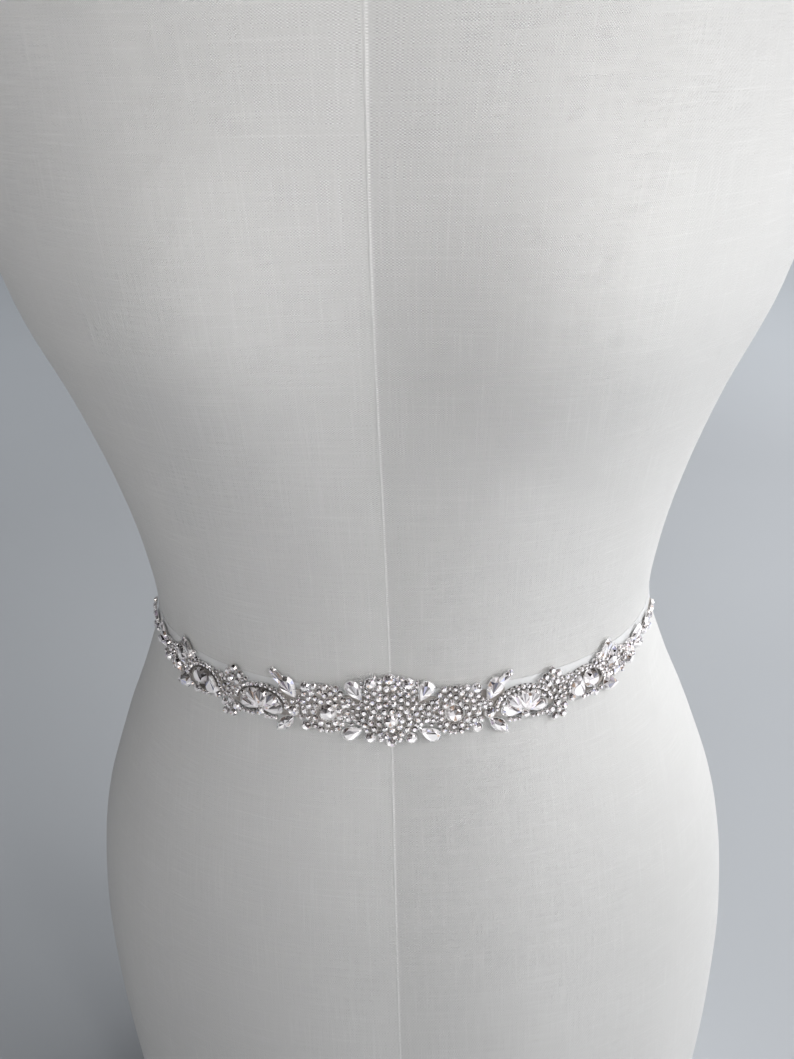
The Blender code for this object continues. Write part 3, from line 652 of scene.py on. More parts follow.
def raise_cover():
    shape = bmesh.new()
    turn_of = shape.verts.layers.float.new("turn")
    rise_of = shape.verts.layers.float.new("rise")
    ring = bmesh.ops.create_circle(shape, segments=len(TURNS), radius=1.0)["verts"]
    for corner, turn in zip(ring, TURNS):
        corner[turn_of] = turn
        corner.co = cover_point(turn, HEIGHTS[0])
    edges = shape.edges[:]
    bottom = list(edges)
    rise = 0.0
    for before, height in zip(HEIGHTS, HEIGHTS[1:]):
        rise += (form_point(MEASURED_AT, height) - form_point(MEASURED_AT, before)).length
        made = bmesh.ops.extrude_edge_only(shape, edges=edges)["geom"]
        edges = [part for part in made if isinstance(part, bmesh.types.BMEdge)]
        for corner in (part for part in made if isinstance(part, bmesh.types.BMVert)):
            corner[rise_of] = rise
            corner.co = cover_point(corner[turn_of], height)
    caps = bmesh.ops.edgeloop_fill(shape, edges=bottom)["faces"]
    caps += bmesh.ops.edgeloop_fill(shape, edges=edges)["faces"]
    face_outward(shape)
    return shape, caps, turn_of, rise_of


print("the cover rises in", len(HEIGHTS) - 1, "steps")

# %% lay the cover flat and finish it
def lay_cover_flat(shape, caps, turn_of, rise_of):
    """The UV map in metres, each corner's distance round from its panel's middle line."""
    cut = shape.loops.layers.uv.new("UVMap")
    for face in shape.faces:
        front = math.cos(sum(corner[turn_of] for corner in face.verts) / len(face.verts)) > 0
        for loop in face.loops:
            place, turn = loop.vert.co, loop.vert[turn_of]
            if face in caps:
                loop[cut].uv = (place.x, place.y)
                continue
            off = from_turn(turn, 0.0 if front else math.pi)
            wide, deep = abs(place.x), abs(place.y)
            radius = (wide + deep) * 0.62 + 0.35 * max(wide, deep)     # near enough for an oval
            loop[cut].uv = (off * radius, loop.vert[rise_of])


def make_cover():
    shape, caps, turn_of, rise_of = raise_cover()
    lay_cover_flat(shape, caps, turn_of, rise_of)
    return finish_piece("linen_cover", shape, [LINEN], ["dress_form"], sharp=35)


COVER = make_cover()

# %% [markdown]
# ## Measuring along the waist
# The sash is planned flat, like the ribbon on a cutting table: so far along from the centre front,
# so far up from its middle line. These functions wrap that plan round the form. The ribbon rises a
# little towards the back, as a tied sash does.

# %% from the flat plan to the waist
RIBBON_WIDTH = 0.0127
BELT_TILT = 0.045                     # metres up for each metre towards the back
ARC_SAMPLES = 720                     # steps in which half the waist is measured


def belt_height(angle):
    return BELT_TILT * form_point(angle, 0.0).y


def arc_table():
    lengths = [0.0]
    before = form_point(0.0, belt_height(0.0))
    for k in range(1, ARC_SAMPLES + 1):
        angle = math.pi * k / ARC_SAMPLES
        here = form_point(angle, belt_height(angle))
        lengths.append(lengths[-1] + (here - before).length)
        before = here
    return lengths


ARC_LENGTHS = arc_table()
HALF_GIRTH = ARC_LENGTHS[-1]
print("waist along the ribbon, mm:", round(2000 * HALF_GIRTH))

# %% a place on the waist
def belt_angle(along):
    """The angle round the form at a length along the ribbon, looked up in the table of lengths."""
    target = min(abs(along), HALF_GIRTH)
    low, high = 0, ARC_SAMPLES
    while high - low > 1:
        middle = (low + high) // 2
        if ARC_LENGTHS[middle] > target:
            high = middle
        else:
            low = middle
    share = (target - ARC_LENGTHS[low]) / (ARC_LENGTHS[high] - ARC_LENGTHS[low])
    return math.copysign(math.pi * (low + share) / ARC_SAMPLES, along)


def on_belt(along, up, out):
    angle = belt_angle(along)
    height = belt_height(angle) + up
    return form_point(angle, height) + form_normal(angle, height) * out


def belt_axes(along, up):
    """A rigid thing's place on the waist: X runs along the ribbon, Y up and Z out, and its origin
    lies on the form."""
    angle = belt_angle(along)
    height = belt_height(angle) + up
    out = form_normal(angle, height)
    step = 0.0005
    run = (on_belt(along + step, up, 0.0) - on_belt(along - step, up, 0.0)).normalized()
    rise = out.cross(run).normalized()
    turned = Matrix((rise.cross(out), rise, out)).transposed().to_4x4()
    return Matrix.Translation(form_point(angle, height)) @ turned


print("side seam along the ribbon, mm:", round(1000 * ARC_LENGTHS[ARC_SAMPLES // 2]))

# %% [markdown]
# ## The ribbon round the waist
# A flat grid stands for the cut ribbon. Its UV map is taken while it is still flat, then each
# corner is wrapped round the waist and the sheet is thickened. The edges press into the cover by a
# fraction of a millimetre more in one place than in another, as those of a tight ribbon do.

# %% cut and wrap the ribbon
RIBBON_OUT = 0.00018                  # from the form to the ribbon
RIBBON_THICK = 0.00018
EDGE_WAVE = 0.00010                   # how far the edges press in
EDGE_RATES = (210.0, 37.0)            # how fast that changes along the ribbon, in radians a metre
BAND_CUT = 2 * HALF_GIRTH - 0.001


def flat_strip(length, width, long_steps, cross_steps):
    """A flat grid of cloth, with its cut as its UV map."""
    shape = bmesh.new()
    bmesh.ops.create_grid(shape, x_segments=long_steps, y_segments=cross_steps, size=0.5,
                          calc_uvs=False)
    bmesh.ops.scale(shape, verts=shape.verts[:], vec=(length, width, 1.0))
    cut = shape.loops.layers.uv.new("UVMap")
    for face in shape.faces:
        for loop in face.loops:
            loop[cut].uv = loop.vert.co.xy
    return shape


def wrap_and_thicken(shape, wrap, thickness):
    """Move each flat corner to its place, then give the sheet its thickness, outward."""
    for corner in shape.verts:
        corner.co = wrap(corner.co.x, corner.co.y)
    face_outward(shape)
    return bmesh.ops.solidify(shape, geom=shape.faces[:], thickness=thickness)


def band_place(along, up):
    edge = (2 * up / RIBBON_WIDTH) ** 4
    fast, slow = math.sin(along * EDGE_RATES[0]), math.sin(along * EDGE_RATES[1] + 1.0)
    wave = EDGE_WAVE * edge * (0.6 + 0.4 * fast * slow)
    return on_belt(along, up, RIBBON_OUT - wave)


def make_band():
    shape = flat_strip(BAND_CUT, RIBBON_WIDTH, 260, 8)
    wrap_and_thicken(shape, band_place, -RIBBON_THICK)
    piece = finish_piece("satin_band", shape, [SATIN], ["ribbon_band"], sharp=60)
    return piece


BAND = make_band()

# %% [markdown]
# ## Two tails and a knot
# Behind, the ribbon is tied once and its ends hang. They leave the knot gathered, spring out a
# little, then lie down the hips in a soft S and end in a slanted cut, which keeps satin from
# fraying. The knot is one more turn of the same ribbon over the crossing, pulled into pleats.

# %% how a tail lies
KNOT_HEIGHT, KNOT_DEPTH = 0.0185, 0.0088
TAIL_LENGTH = 0.300
TAIL_SPREAD = 0.038                   # how far from the middle a tail's end hangs
TAIL_SWAY = 0.003                     # how far the soft S swings
TAIL_ROOT_WIDTH = 0.0070              # the gathered width at the knot
TAIL_OUT = 0.00105
TAIL_SPRING = 0.003                   # how far a tail springs out under the knot
TAIL_WAVE, TAIL_WAVES = 0.0022, 1.5   # height and number of the waves down a tail
GATHERED, SPRUNG = 0.12, 0.20         # shares of the length that are gathered, and stand out
PLEAT_RELIEF, PLEAT_LIFT = 0.0011, 0.0008
CURL, CURL_RATE = 0.0005, 23.0        # the edges curl up here and there
SLANT_CUT = 0.010
SEAM_GAP = 0.0003


def back_angle(x, height):
    """The angle at which the back of the form lies x from the middle."""
    power = smooth_value(height, "squareness")
    share = min(abs(x) / smooth_value(height, "half_width"), 1.0)
    return math.pi - math.copysign(math.asin(share ** (1 / power)), x)


def tail_place(side, along, across):
    """From the flat tail, root at along 0, to its place down the back of the form."""
    share, place = along / TAIL_LENGTH, 2 * across / RIBBON_WIDTH
    root = TAIL_ROOT_WIDTH / 2 + SEAM_GAP
    down = max(share, 0.0)
    x = root + (TAIL_SPREAD - root) * down ** 0.8 + TAIL_SWAY * math.sin(math.tau * share)
    gather = min(down / GATHERED, 1.0)
    width = TAIL_ROOT_WIDTH + (RIBBON_WIDTH - TAIL_ROOT_WIDTH) * gather * (2 - gather)
    x = side * x + place * width / 2
    top = belt_height(math.pi) - KNOT_HEIGHT / 2 - SEAM_GAP
    z = top - along - SLANT_CUT * down ** 8 * (1 + place * side) / 2
    spring = TAIL_SPRING / 2 * (1 + math.cos(math.pi * min(down / SPRUNG, 1.0)))
    wave = TAIL_WAVE / 2 * (1 - math.cos(math.tau * TAIL_WAVES * share)) * (1 - place * place)
    pleat = PLEAT_RELIEF * (1 - gather) * math.cos(3.0 * math.pi * place)
    curl = CURL * place ** 2 * (1 + math.sin(CURL_RATE * share + side)) * gather
    angle = back_angle(x, z)
    level_way = form_normal(angle, z) * Vector((1.0, 1.0, 0.0))
    out = TAIL_OUT + spring + wave + curl + pleat + PLEAT_LIFT * (1 - gather)
    return form_point(angle, z) + level_way.normalized() * out


print("a tail's end hangs at, mm:", [round(1000 * x) for x in tail_place(1, TAIL_LENGTH, 0.0)])

# %% the tails
TAIL_TUCK = 0.004                     # how far a tail reaches up into the knot


def make_tail(name, side, node):
    cut = TAIL_LENGTH + TAIL_TUCK
    shape = flat_strip(cut, RIBBON_WIDTH, 110, 12)
    wrap_and_thicken(shape, lambda x, y: tail_place(side, x + cut / 2 - TAIL_TUCK, y),
                     -RIBBON_THICK)
    piece = finish_piece(name, shape, [SATIN], [node], sharp=60)
    return piece


make_tail("satin_tail_left", -1, "ribbon_tail_left")
make_tail("satin_tail_right", 1, "ribbon_tail_right")

# %% the knot
WRAP_CUT = 0.030                      # the length of ribbon that goes over the crossing
WRAP_TURNS = 0.65                     # how much of a full turn it makes
KNOT_LEAN = 14.0                      # degrees that it leans
KNOT_PULL = 0.20                      # how much narrower it is pulled over the crossing
KNOT_PLEATS, KNOT_PLEAT_RELIEF = 2.5, 0.00040
KNOT_ROUNDING = 0.0012                # how far its edges fall away


def knot_place(along, across):
    """The wrap goes over the crossing from top to bottom and tucks in behind it at both ends."""
    turn = math.tau * WRAP_TURNS * along / WRAP_CUT
    pull = 1.0 - KNOT_PULL * math.cos(turn) ** 2
    pleat_turn = across / RIBBON_WIDTH * math.tau * KNOT_PLEATS
    pleats = KNOT_PLEAT_RELIEF * math.cos(pleat_turn + 0.6 * math.sin(turn))
    fall = KNOT_ROUNDING * (2 * across / RIBBON_WIDTH) ** 2
    deep = KNOT_DEPTH / 2 + pleats - fall
    tall = KNOT_HEIGHT / 2 - fall
    flat = Vector((across * pull, deep * math.cos(turn), -tall * math.sin(turn)))
    leaned = Matrix.Rotation(math.radians(KNOT_LEAN), 3, "Y") @ flat
    middle = form_point(math.pi, belt_height(math.pi))
    return middle + Vector((0.0, SEAM_GAP + KNOT_DEPTH / 2, 0.0)) + leaned


def make_knot():
    shape = flat_strip(WRAP_CUT, RIBBON_WIDTH, 48, 20)
    wrap_and_thicken(shape, knot_place, -RIBBON_THICK)
    piece = finish_piece("satin_knot", shape, [SATIN], ["ribbon_knot"], sharp=60)


make_knot()

# %% [markdown]
# ## Cutting stones
# Rounds, pears, navettes and baguettes are the same build with another outline: a filled circle
# whose corners are moved onto the outline, extruded up to a girdle, drawn in to a crown and again
# to a flat table. Turning each level by half a side makes the slanted facets of a real cut. The
# table is poked from its middle, so that its parts tilt a little and glint one by one. A pear's is
# poked near its tip, so that its long facets fan out from there.

# %% outlines of the cuts
SIDES = {"bead": 8, "round": 10, "pear": 14, "navette": 12, "baguette": 8}
PEAR_SWELL, PEAR_POINT = 1.41, 1.2    # how round a pear is at one end, how sharp at the other
BAGUETTE_SQUARE = 1.30                # the larger this is, the squarer a baguette's corners


def cut_outline(cut, turn):
    """The outline of a stone of half length 1 and half width 1. A pear's tip points along +X."""
    x, y = math.cos(turn), math.sin(turn)
    if cut == "pear":
        return x, PEAR_SWELL * y * math.sin(turn / 2) ** PEAR_POINT
    if cut == "navette":
        return x, math.copysign(1.0 - x * x, y)
    if cut == "baguette":
        return tuple(min(max(BAGUETTE_SQUARE * part, -1.0), 1.0) for part in (x, y))
    return x, y


def give_outline(shape, cut, low=1.0, high=1.0):
    """Move a round shape's corners onto a cut's outline, by one share below and one above."""
    for corner in shape.verts:
        turn = math.atan2(corner.co.y, corner.co.x) % math.tau
        if cut == "baguette":
            turn += math.pi / SIDES[cut]
        reach = high if corner.co.z > 0.5 else low
        x, y = cut_outline(cut, turn)
        corner.co.x, corner.co.y = reach * x, reach * y


print("cuts:", ", ".join(SIDES))

# %% cut a stone
TABLE_SHARE = {"bead": 0.62, "round": 0.66, "pear": 0.74, "navette": 0.66, "baguette": 0.74}
TABLE_DIP = 0.12                      # how far the middle of a table is poked in
PEAR_POKE = 0.42                      # a pear is poked this far towards its tip
TABLE_HEIGHT = 0.8                    # a face whose corners are all above this is in the table
COUNT_FROM = 0.1                      # radians past the stone's back, where counting starts


def move_up(shape, faces, share, rise, half_turn):
    """Extrude a stone's top face, draw it in and turn it. It gives the new top face."""
    made = bmesh.ops.extrude_face_region(shape, geom=faces)["geom"]
    corners = [part for part in made if isinstance(part, bmesh.types.BMVert)]
    bmesh.ops.scale(shape, verts=corners, vec=(share, share, 1.0))
    bmesh.ops.translate(shape, verts=corners, vec=(0.0, 0.0, rise))
    bmesh.ops.rotate(shape, verts=corners, cent=(0.0, 0.0, 0.0),
                     matrix=Matrix.Rotation(half_turn, 3, "Z"))
    return [part for part in made if isinstance(part, bmesh.types.BMFace)]


def facet_order(face):
    """Where a facet comes when they are counted round its stone, and where two lie in one
    direction, from below upward and from the middle outward. Operators may leave the faces in
    another order on each run, and the chance numbers are dealt in this one."""
    middle = face.calc_center_median()
    turn = (math.atan2(middle.y, middle.x) + math.pi - COUNT_FROM) % math.tau
    return round(turn, 3) + 0.0001 * round(middle.z, 1) + 0.00001 * round(middle.length, 1)


def cut_stone(cut):
    """A stone with its girdle at height 0 and its table at height 1."""
    shape = bmesh.new()
    bmesh.ops.create_circle(shape, cap_ends=True, segments=SIDES[cut], radius=1.0)
    give_outline(shape, cut)
    half_turn = math.pi / SIDES[cut] if cut in ("bead", "round") else 0.0
    top = move_up(shape, shape.faces[:], TABLE_SHARE[cut], 1.0, half_turn)
    centre = bmesh.ops.poke(shape, faces=top)["verts"]
    towards_tip = PEAR_POKE if cut == "pear" else 0.0
    bmesh.ops.translate(shape, verts=centre, vec=(towards_tip, 0.0, -TABLE_DIP))
    bmesh.ops.triangulate(shape, faces=shape.faces[:])
    face_outward(shape)
    shape.faces.sort(key=facet_order)
    return to_mesh(shape, f"cut_{cut}")


def facet_places(mesh):
    """Each facet's direction from the stone's middle, whether it is part of the table, and its
    number when they are counted round the stone."""
    places = []
    for facet in mesh.polygons:
        middle = facet.center
        flat = all(mesh.vertices[k].co.z > TABLE_HEIGHT for k in facet.vertices)
        places.append((math.atan2(middle.y, middle.x), flat, facet.index))
    return places


CUT_MESHES = {cut: cut_stone(cut) for cut in SIDES}
CUT_FACETS = {cut: facet_places(mesh) for cut, mesh in CUT_MESHES.items()}
print({cut: len(mesh.polygons) for cut, mesh in CUT_MESHES.items()})

# %% [markdown]
# ## Cups and prongs
# A cup is a short cone with the stone's own outline, a little wider at its rim. Prongs are thin
# posts that stand at the rim and lean in over the girdle. Both are cut to few faces, because there
# are hundreds of them.

# %% stamp a cup, draw a prong
CUP_FOOT, CUP_RIM = 0.80, 1.08        # a cup's reach below and above, as shares of its stone's
PRONG_TIP = 0.55                      # a prong's width at its tip, as a share of its foot


def short_cone(sides, foot, tip):
    """A closed cone of height 1 that stands on height 0."""
    shape = bmesh.new()
    bmesh.ops.create_cone(shape, cap_ends=True, segments=sides, radius1=foot, radius2=tip,
                          depth=1.0)
    bmesh.ops.translate(shape, verts=shape.verts[:], vec=(0.0, 0.0, 0.5))
    return shape


def stamp_cup(cut):
    """A cup from height 0 to height 1, its rim just outside the stone's girdle."""
    shape = short_cone(SIDES[cut], CUP_FOOT, CUP_RIM)
    give_outline(shape, cut, CUP_FOOT, CUP_RIM)
    return to_mesh(shape, f"cup_{cut}")


CUP_MESHES = {cut: stamp_cup(cut) for cut in SIDES}
PRONG_MESH = to_mesh(short_cone(4, 1.0, PRONG_TIP), "prong")
PRONG_TURNS = {
    "bead": (45, 135, 225, 315),
    "round": (30, 90, 150, 210, 270, 330),
    "pear": (0, 70, 140, 220, 290),
    "navette": (0, 62, 118, 180, 242, 298),
    "baguette": (38, 142, 218, 322),
}
print("cups:", {cut: len(mesh.polygons) for cut, mesh in CUP_MESHES.items()})

# %% [markdown]
# ## The plan of the applique
# One half is planned, and the other mirrors it. Lengths are in millimetres along the ribbon from
# the centre front, and up from its middle line. The large stones are placed one by one, as they
# are on the real piece. The small ones follow rules: rings round a large stone, chains on an arch
# and flowers of a few petals.

# %% large stones
STONE_COLUMNS = ("cut", "along", "up", "turn", "length", "width", "rise")
STONES = {
    "medallion": (
        ("round", 0.0, -6.6, 0, 6.4, 6.4, 2.4),
        ("round", 0.0, 12.8, 0, 5.0, 5.0, 1.9),
        ("round", 8.0, 10.5, 0, 4.9, 4.9, 1.9),
        ("round", 0.0, -17.8, 0, 4.4, 4.4, 1.7),
        ("round", 8.3, -15.6, 0, 4.8, 4.8, 1.8),
        ("pear", 14.6, 6.4, 240, 10.4, 6.2, 2.4),
        ("pear", 15.6, -13.8, 154, 9.8, 6.0, 2.0),
    ),
    "pave": (
        ("round", 26.6, -5.1, 0, 8.0, 8.0, 2.1),
        ("round", 36.2, 6.2, 0, 4.4, 4.4, 1.7),
        ("round", 35.2, -12.4, 0, 4.6, 4.6, 1.6),
    ),
    "leaf_arch": (
        ("pear", 43.5, 4.6, 236, 11.2, 7.0, 2.2),
        ("baguette", 47.6, 8.6, 44, 8.6, 3.5, 2.0),
        ("round", 50.4, 11.4, 0, 3.2, 3.2, 1.4),
        ("navette", 44.4, -12.8, 316, 10.8, 5.4, 2.0),
        ("round", 41.2, -6.4, 0, 4.8, 4.8, 1.7),
        ("round", 56.2, -9.6, 0, 3.8, 3.8, 1.9),
        ("round", 65.4, -2.9, 0, 2.3, 2.3, 1.3),
        ("round", 47.0, -2.9, 0, 2.3, 2.3, 1.3),
        ("pear", 61.6, -7.3, 190, 9.8, 5.2, 1.7),
        ("pear", 59.9, -3.8, 230, 9.8, 5.5, 1.8),
        ("pear", 56.2, -3.1, 270, 9.6, 5.5, 1.9),
        ("pear", 52.5, -3.8, 310, 9.8, 5.5, 1.8),
        ("pear", 50.8, -7.3, 350, 9.8, 5.2, 1.7),
    ),
    "small_arch": (
        ("round", 90.0, -3.7, 0, 8.4, 8.4, 2.2),
        ("pear", 82.3, -4.8, 76, 10.6, 7.6, 2.1),
        ("pear", 100.4, -10.6, 338, 9.6, 6.6, 1.9),
        ("round", 90.8, -10.8, 0, 3.6, 3.6, 1.4),
        ("round", 78.4, -8.6, 0, 3.8, 3.8, 1.4),
        ("baguette", 99.2, 7.0, 48, 9.4, 3.8, 1.8),
        ("navette", 103.8, 1.3, 60, 10.4, 5.0, 2.0),
        ("navette", 106.6, -5.4, 48, 8.4, 4.6, 1.9),
    ),
    "end_sprig": (
        ("round", 115.5, -6.0, 0, 4.8, 4.8, 1.8),
        ("round", 117.6, -0.9, 0, 5.2, 5.2, 1.7),
        ("baguette", 124.2, 2.7, 20, 9.4, 3.6, 1.6),
        ("navette", 125.4, -2.9, 352, 10.0, 5.0, 1.7),
        ("round", 132.8, -0.6, 0, 4.8, 4.8, 1.6),
        ("baguette", 139.4, 1.9, 12, 8.4, 3.2, 1.3),
        ("navette", 139.4, -2.6, 350, 8.6, 4.2, 1.3),
        ("round", 145.8, -0.5, 0, 4.0, 4.0, 1.2),
        ("navette", 151.6, -0.5, 0, 7.8, 3.8, 1.1),
        ("round", 157.2, -0.5, 0, 3.4, 3.4, 1.0),
    ),
}


def rows_for(motif, table, columns):
    """The rows that a table has for one motif."""
    return [{"motif": motif, **row} for row in rows_of(table.get(motif, ()), columns)]


def large_stones(motif):
    stones = rows_for(motif, STONES, STONE_COLUMNS)
    if motif == "medallion":
        stones += [{**stone, "along": -stone["along"], "turn": 180 - stone["turn"]}
                   for stone in stones if stone["along"] > 0]
    return stones


print("large stones in one half:", sum(len(rows) for rows in STONES.values()))

# %% small stones, and the room they need
def bead(motif, along, up, size, rise):
    row = ("bead", along, up, 0.0, size, size, rise)
    return {"motif": motif, **dict(zip(STONE_COLUMNS, row))}


def apart(one, other, share=1.0):
    """Whether two stones leave each other room. Long ones count as a row of rounds."""
    half = other["width"] / 2
    reach = max((other["length"] - other["width"]) / 2, 0.0)
    way = math.radians(other["turn"])
    for step in (-1.0, 0.0, 1.0):
        x = other["along"] + step * reach * math.cos(way)
        y = other["up"] + step * reach * math.sin(way)
        if math.hypot(one["along"] - x, one["up"] - y) < share * (one["width"] / 2 + half):
            return False
    return True


print("a small stone is planned as", ", ".join(STONE_COLUMNS))

# %% rings of small stones round a middle stone
RING_COLUMNS = ("along", "up", "first", "rings", "size", "rise")
RINGS = {
    "medallion": ((0.0, -6.6, 4.8, 3, 2.9, 1.7),),
    "pave": ((26.6, -5.1, 5.7, 1, 2.9, 1.6),),
}
RING_PITCH = 1.12                     # spacing of a ring's stones, as a share of their size


def ring_stones(ring, placed):
    made = []
    for row in range(ring["rings"]):
        radius = ring["first"] + row * ring["size"] * RING_PITCH
        count = round(math.tau * radius / (ring["size"] * RING_PITCH))
        for k in range(count):
            turn = math.tau * (k + 0.5 * (row % 2)) / count
            stone = bead(ring["motif"], ring["along"] + radius * math.cos(turn),
                         ring["up"] + radius * math.sin(turn), ring["size"], ring["rise"])
            if all(apart(stone, other) for other in placed + made):
                made.append(stone)
    return made


print("motifs with rings:", ", ".join(RINGS))

# %% flowers, petals round a small middle stone
FLOWER_COLUMNS = ("along", "up", "petals", "reach", "petal", "middle", "rise")
FLOWERS = {
    "leaf_arch": (
        (69.8, 4.3, 5, 3.25, 3.6, 2.4, 1.7),
        (70.9, -11.8, 5, 3.25, 3.6, 2.4, 1.7),
    ),
    "small_arch": ((94.6, 3.4, 4, 2.2, 2.8, 1.4, 1.5),),
}


def flower_stones(flower):
    made = [bead(flower["motif"], flower["along"], flower["up"], flower["middle"],
                 flower["rise"] + 0.2)]
    for k in range(flower["petals"]):
        turn = math.tau * k / flower["petals"] + math.pi / 2
        made.append(bead(flower["motif"], flower["along"] + flower["reach"] * math.cos(turn),
                         flower["up"] + flower["reach"] * math.sin(turn), flower["petal"],
                         flower["rise"]))
    return made


print("motifs with flowers:", ", ".join(FLOWERS))

# %% arches, a chain above and a fringe below
ARCH_COLUMNS = ("along", "up", "half_span", "height", "below")
ARCHES = {
    "leaf_arch": ((56.2, -5.2, 13.2, 9.6, 5.4),),
    "small_arch": ((86.9, -4.8, 10.8, 8.8, 4.6),),
}
CHAIN_WIDTH, CHAIN_PITCH, CHAIN_SIZE, CHAIN_RISE = 2.3, 2.02, 2.0, 1.6
FRINGE_INSET = 2.0                    # mm from an arch's end to its fringe's
FRINGE_SIZE, FRINGE_RISE, FRINGE_BEND = 2.1, 1.5, 0.8
FRINGE_SHARE = 0.86                   # a fringe's stones may stand this much closer than others


def chain_stones(arch):
    """Small stones in line along an arch, a little apart."""
    wide, tall = arch["half_span"] - CHAIN_WIDTH / 2, arch["height"] - CHAIN_WIDTH / 2
    length = math.pi * math.sqrt((wide ** 2 + tall ** 2) / 2)
    count = round(length / CHAIN_PITCH)
    return [bead(arch["motif"], arch["along"] + wide * math.cos(math.pi * k / count),
                 arch["up"] + tall * math.sin(math.pi * k / count), CHAIN_SIZE, CHAIN_RISE)
            for k in range(count + 1)]


def fringe_stones(arch, placed):
    """A row of small stones that closes an arch underneath, on a shallow curve."""
    row = []
    half = arch["half_span"] - FRINGE_INSET
    count = round(2 * half / CHAIN_PITCH)
    for k in range(count + 1):
        share = 2 * k / count - 1
        stone = bead(arch["motif"], arch["along"] + share * half,
                     arch["up"] - arch["below"] - 0.9 + FRINGE_BEND * share ** 2, FRINGE_SIZE,
                     FRINGE_RISE)
        if all(apart(stone, other, FRINGE_SHARE) for other in placed + row):
            row.append(stone)
    return row


def under_arch(motif, along, up, size):
    for arch in rows_for(motif, ARCHES, ARCH_COLUMNS):
        wide, tall = arch["half_span"] + size / 2, arch["height"] + size / 2
        far = math.hypot((along - arch["along"]) / wide, max(up - arch["up"], 0) / tall)
        if up > arch["up"] - arch["below"] and far < 1:
            return True
    return False


print("motifs with an arch:", ", ".join(ARCHES))

# %% [markdown]
# ## Filling the fields between
# A stone setter packs the largest stones first and fills what is left with smaller ones. The same
# is done here: a fine grid of places, each moved a little by chance, is tried with one size after
# another, and a stone goes in wherever it clears what is already there.

# %% fields, boxes with rounded corners
FIELD_COLUMNS = ("start", "end", "bottom", "top", "largest", "rise")
FIELDS = {
    "medallion": (
        (-14.4, 14.4, -17.2, 14.2, 2.9, 1.6),
        (-18.9, 18.9, -12.4, 6.0, 2.9, 1.4),
    ),
    "pave": ((18.4, 38.4, -14.4, 8.6, 2.9, 1.5),),
    "leaf_arch": (
        (38.2, 48.0, -9.6, 6.4, 2.4, 1.2),
        (60.0, 76.2, -13.0, 5.0, 2.4, 1.2),
    ),
    "small_arch": (
        (75.9, 84.0, -10.0, 3.4, 2.3, 1.2),
        (93.0, 112.8, -9.8, 4.6, 2.4, 1.2),
    ),
    "end_sprig": (
        (112.8, 122.0, -7.2, 3.0, 2.3, 1.2),
        (120.0, 158.6, -2.2, 1.4, 2.1, 1.1),
    ),
}
FILL_SHARES = (1.0, 0.84, 0.66, 0.52)     # sizes tried in turn, as shares of a field's largest
FILL_STEP = 0.55                          # mm between the places tried
FILL_CHANCE = 0.2                         # mm that chance moves each of them


def field_stones(field, placed, chance):
    """Fill a field: the largest stones go in first, wherever they clear what is there."""
    middle_along, half_along = [(field["end"] + sign * field["start"]) / 2 for sign in (1, -1)]
    middle_up, half_up = [(field["top"] + sign * field["bottom"]) / 2 for sign in (1, -1)]
    spots = []
    for i in range(round(2 * half_along / FILL_STEP) + 1):
        for k in range(round(2 * half_up / FILL_STEP) + 1):
            x, y = i * FILL_STEP - half_along, k * FILL_STEP - half_up
            spots.append((middle_along + x + chance.uniform(-FILL_CHANCE, FILL_CHANCE),
                          middle_up + y + chance.uniform(-FILL_CHANCE, FILL_CHANCE)))
    made = []
    for share in FILL_SHARES:
        size = field["largest"] * share
        for along, up in spots:
            far = (abs((along - middle_along) / (half_along - size / 2 + 0.3)) ** 4
                   + abs((up - middle_up) / (half_up - size / 2 + 0.3)) ** 4)
            stone = bead(field["motif"], along, up, size, field["rise"] + 0.25 * (share - 1.0))
            if far <= 1.0 and not under_arch(field["motif"], along, up, size) and all(
                    apart(stone, other) for other in placed + made):
                made.append(stone)
    return made


print("fields in one half:", sum(len(rows) for rows in FIELDS.values()))

# %% all the small stones of a motif
MOTIFS = ("medallion", "pave", "leaf_arch", "small_arch", "end_sprig")


def small_stones(motif, placed):
    chance = random.Random(len(placed))
    made = []
    for flower in rows_for(motif, FLOWERS, FLOWER_COLUMNS):
        made += flower_stones(flower)
    for arch in rows_for(motif, ARCHES, ARCH_COLUMNS):
        made += chain_stones(arch)
        made += fringe_stones(arch, placed + made)
    for ring in rows_for(motif, RINGS, RING_COLUMNS):
        made += ring_stones(ring, placed + made)
    for field in rows_for(motif, FIELDS, FIELD_COLUMNS):
        made += field_stones(field, placed + made, chance)
    return made


for motif in MOTIFS:
    print(motif, "small stones:", len(small_stones(motif, large_stones(motif))))

# %% [markdown]
# ## Setting stones on the waist
# Each stone is rigid, so it isn't bent round the waist: its cut mesh is copied, sized, tilted by a
# degree or two as a hand-set stone is, and stood on the form at its place. The medallion is domed,
# so stones near its middle stand further out.

# %% how far out, and a sized copy there
APPLIQUE_INSIDE = 0.0009              # from the form out to the applique's back
APPLIQUE_WALL = 0.0007
MEDALLION_LIFT = 0.0012
MEDALLION_OVAL = (0.0, -1.6, 14.6, 16.0)      # mm: its middle, and half its width and height


def dome_lift(motif, along, up):
    if motif != "medallion":
        return 0.0
    middle_along, middle_up, half_width, half_height = MEDALLION_OVAL
    far = math.hypot((along - middle_along) / half_width, (up - middle_up) / half_height)
    return MEDALLION_LIFT * max(0.0, 1.0 - far ** 2)


def copy_in(shape, mesh, place):
    """Add a copy of a mesh to a bmesh at a place. It gives the new faces."""
    first_corner, first_face = len(shape.verts), len(shape.faces)
    shape.from_mesh(mesh)
    shape.verts.ensure_lookup_table()
    shape.faces.ensure_lookup_table()
    bmesh.ops.transform(shape, matrix=place, verts=shape.verts[first_corner:])
    return shape.faces[first_face:]


def sized(length, width, height):
    return Matrix.Diagonal((length, width, height, 1.0))


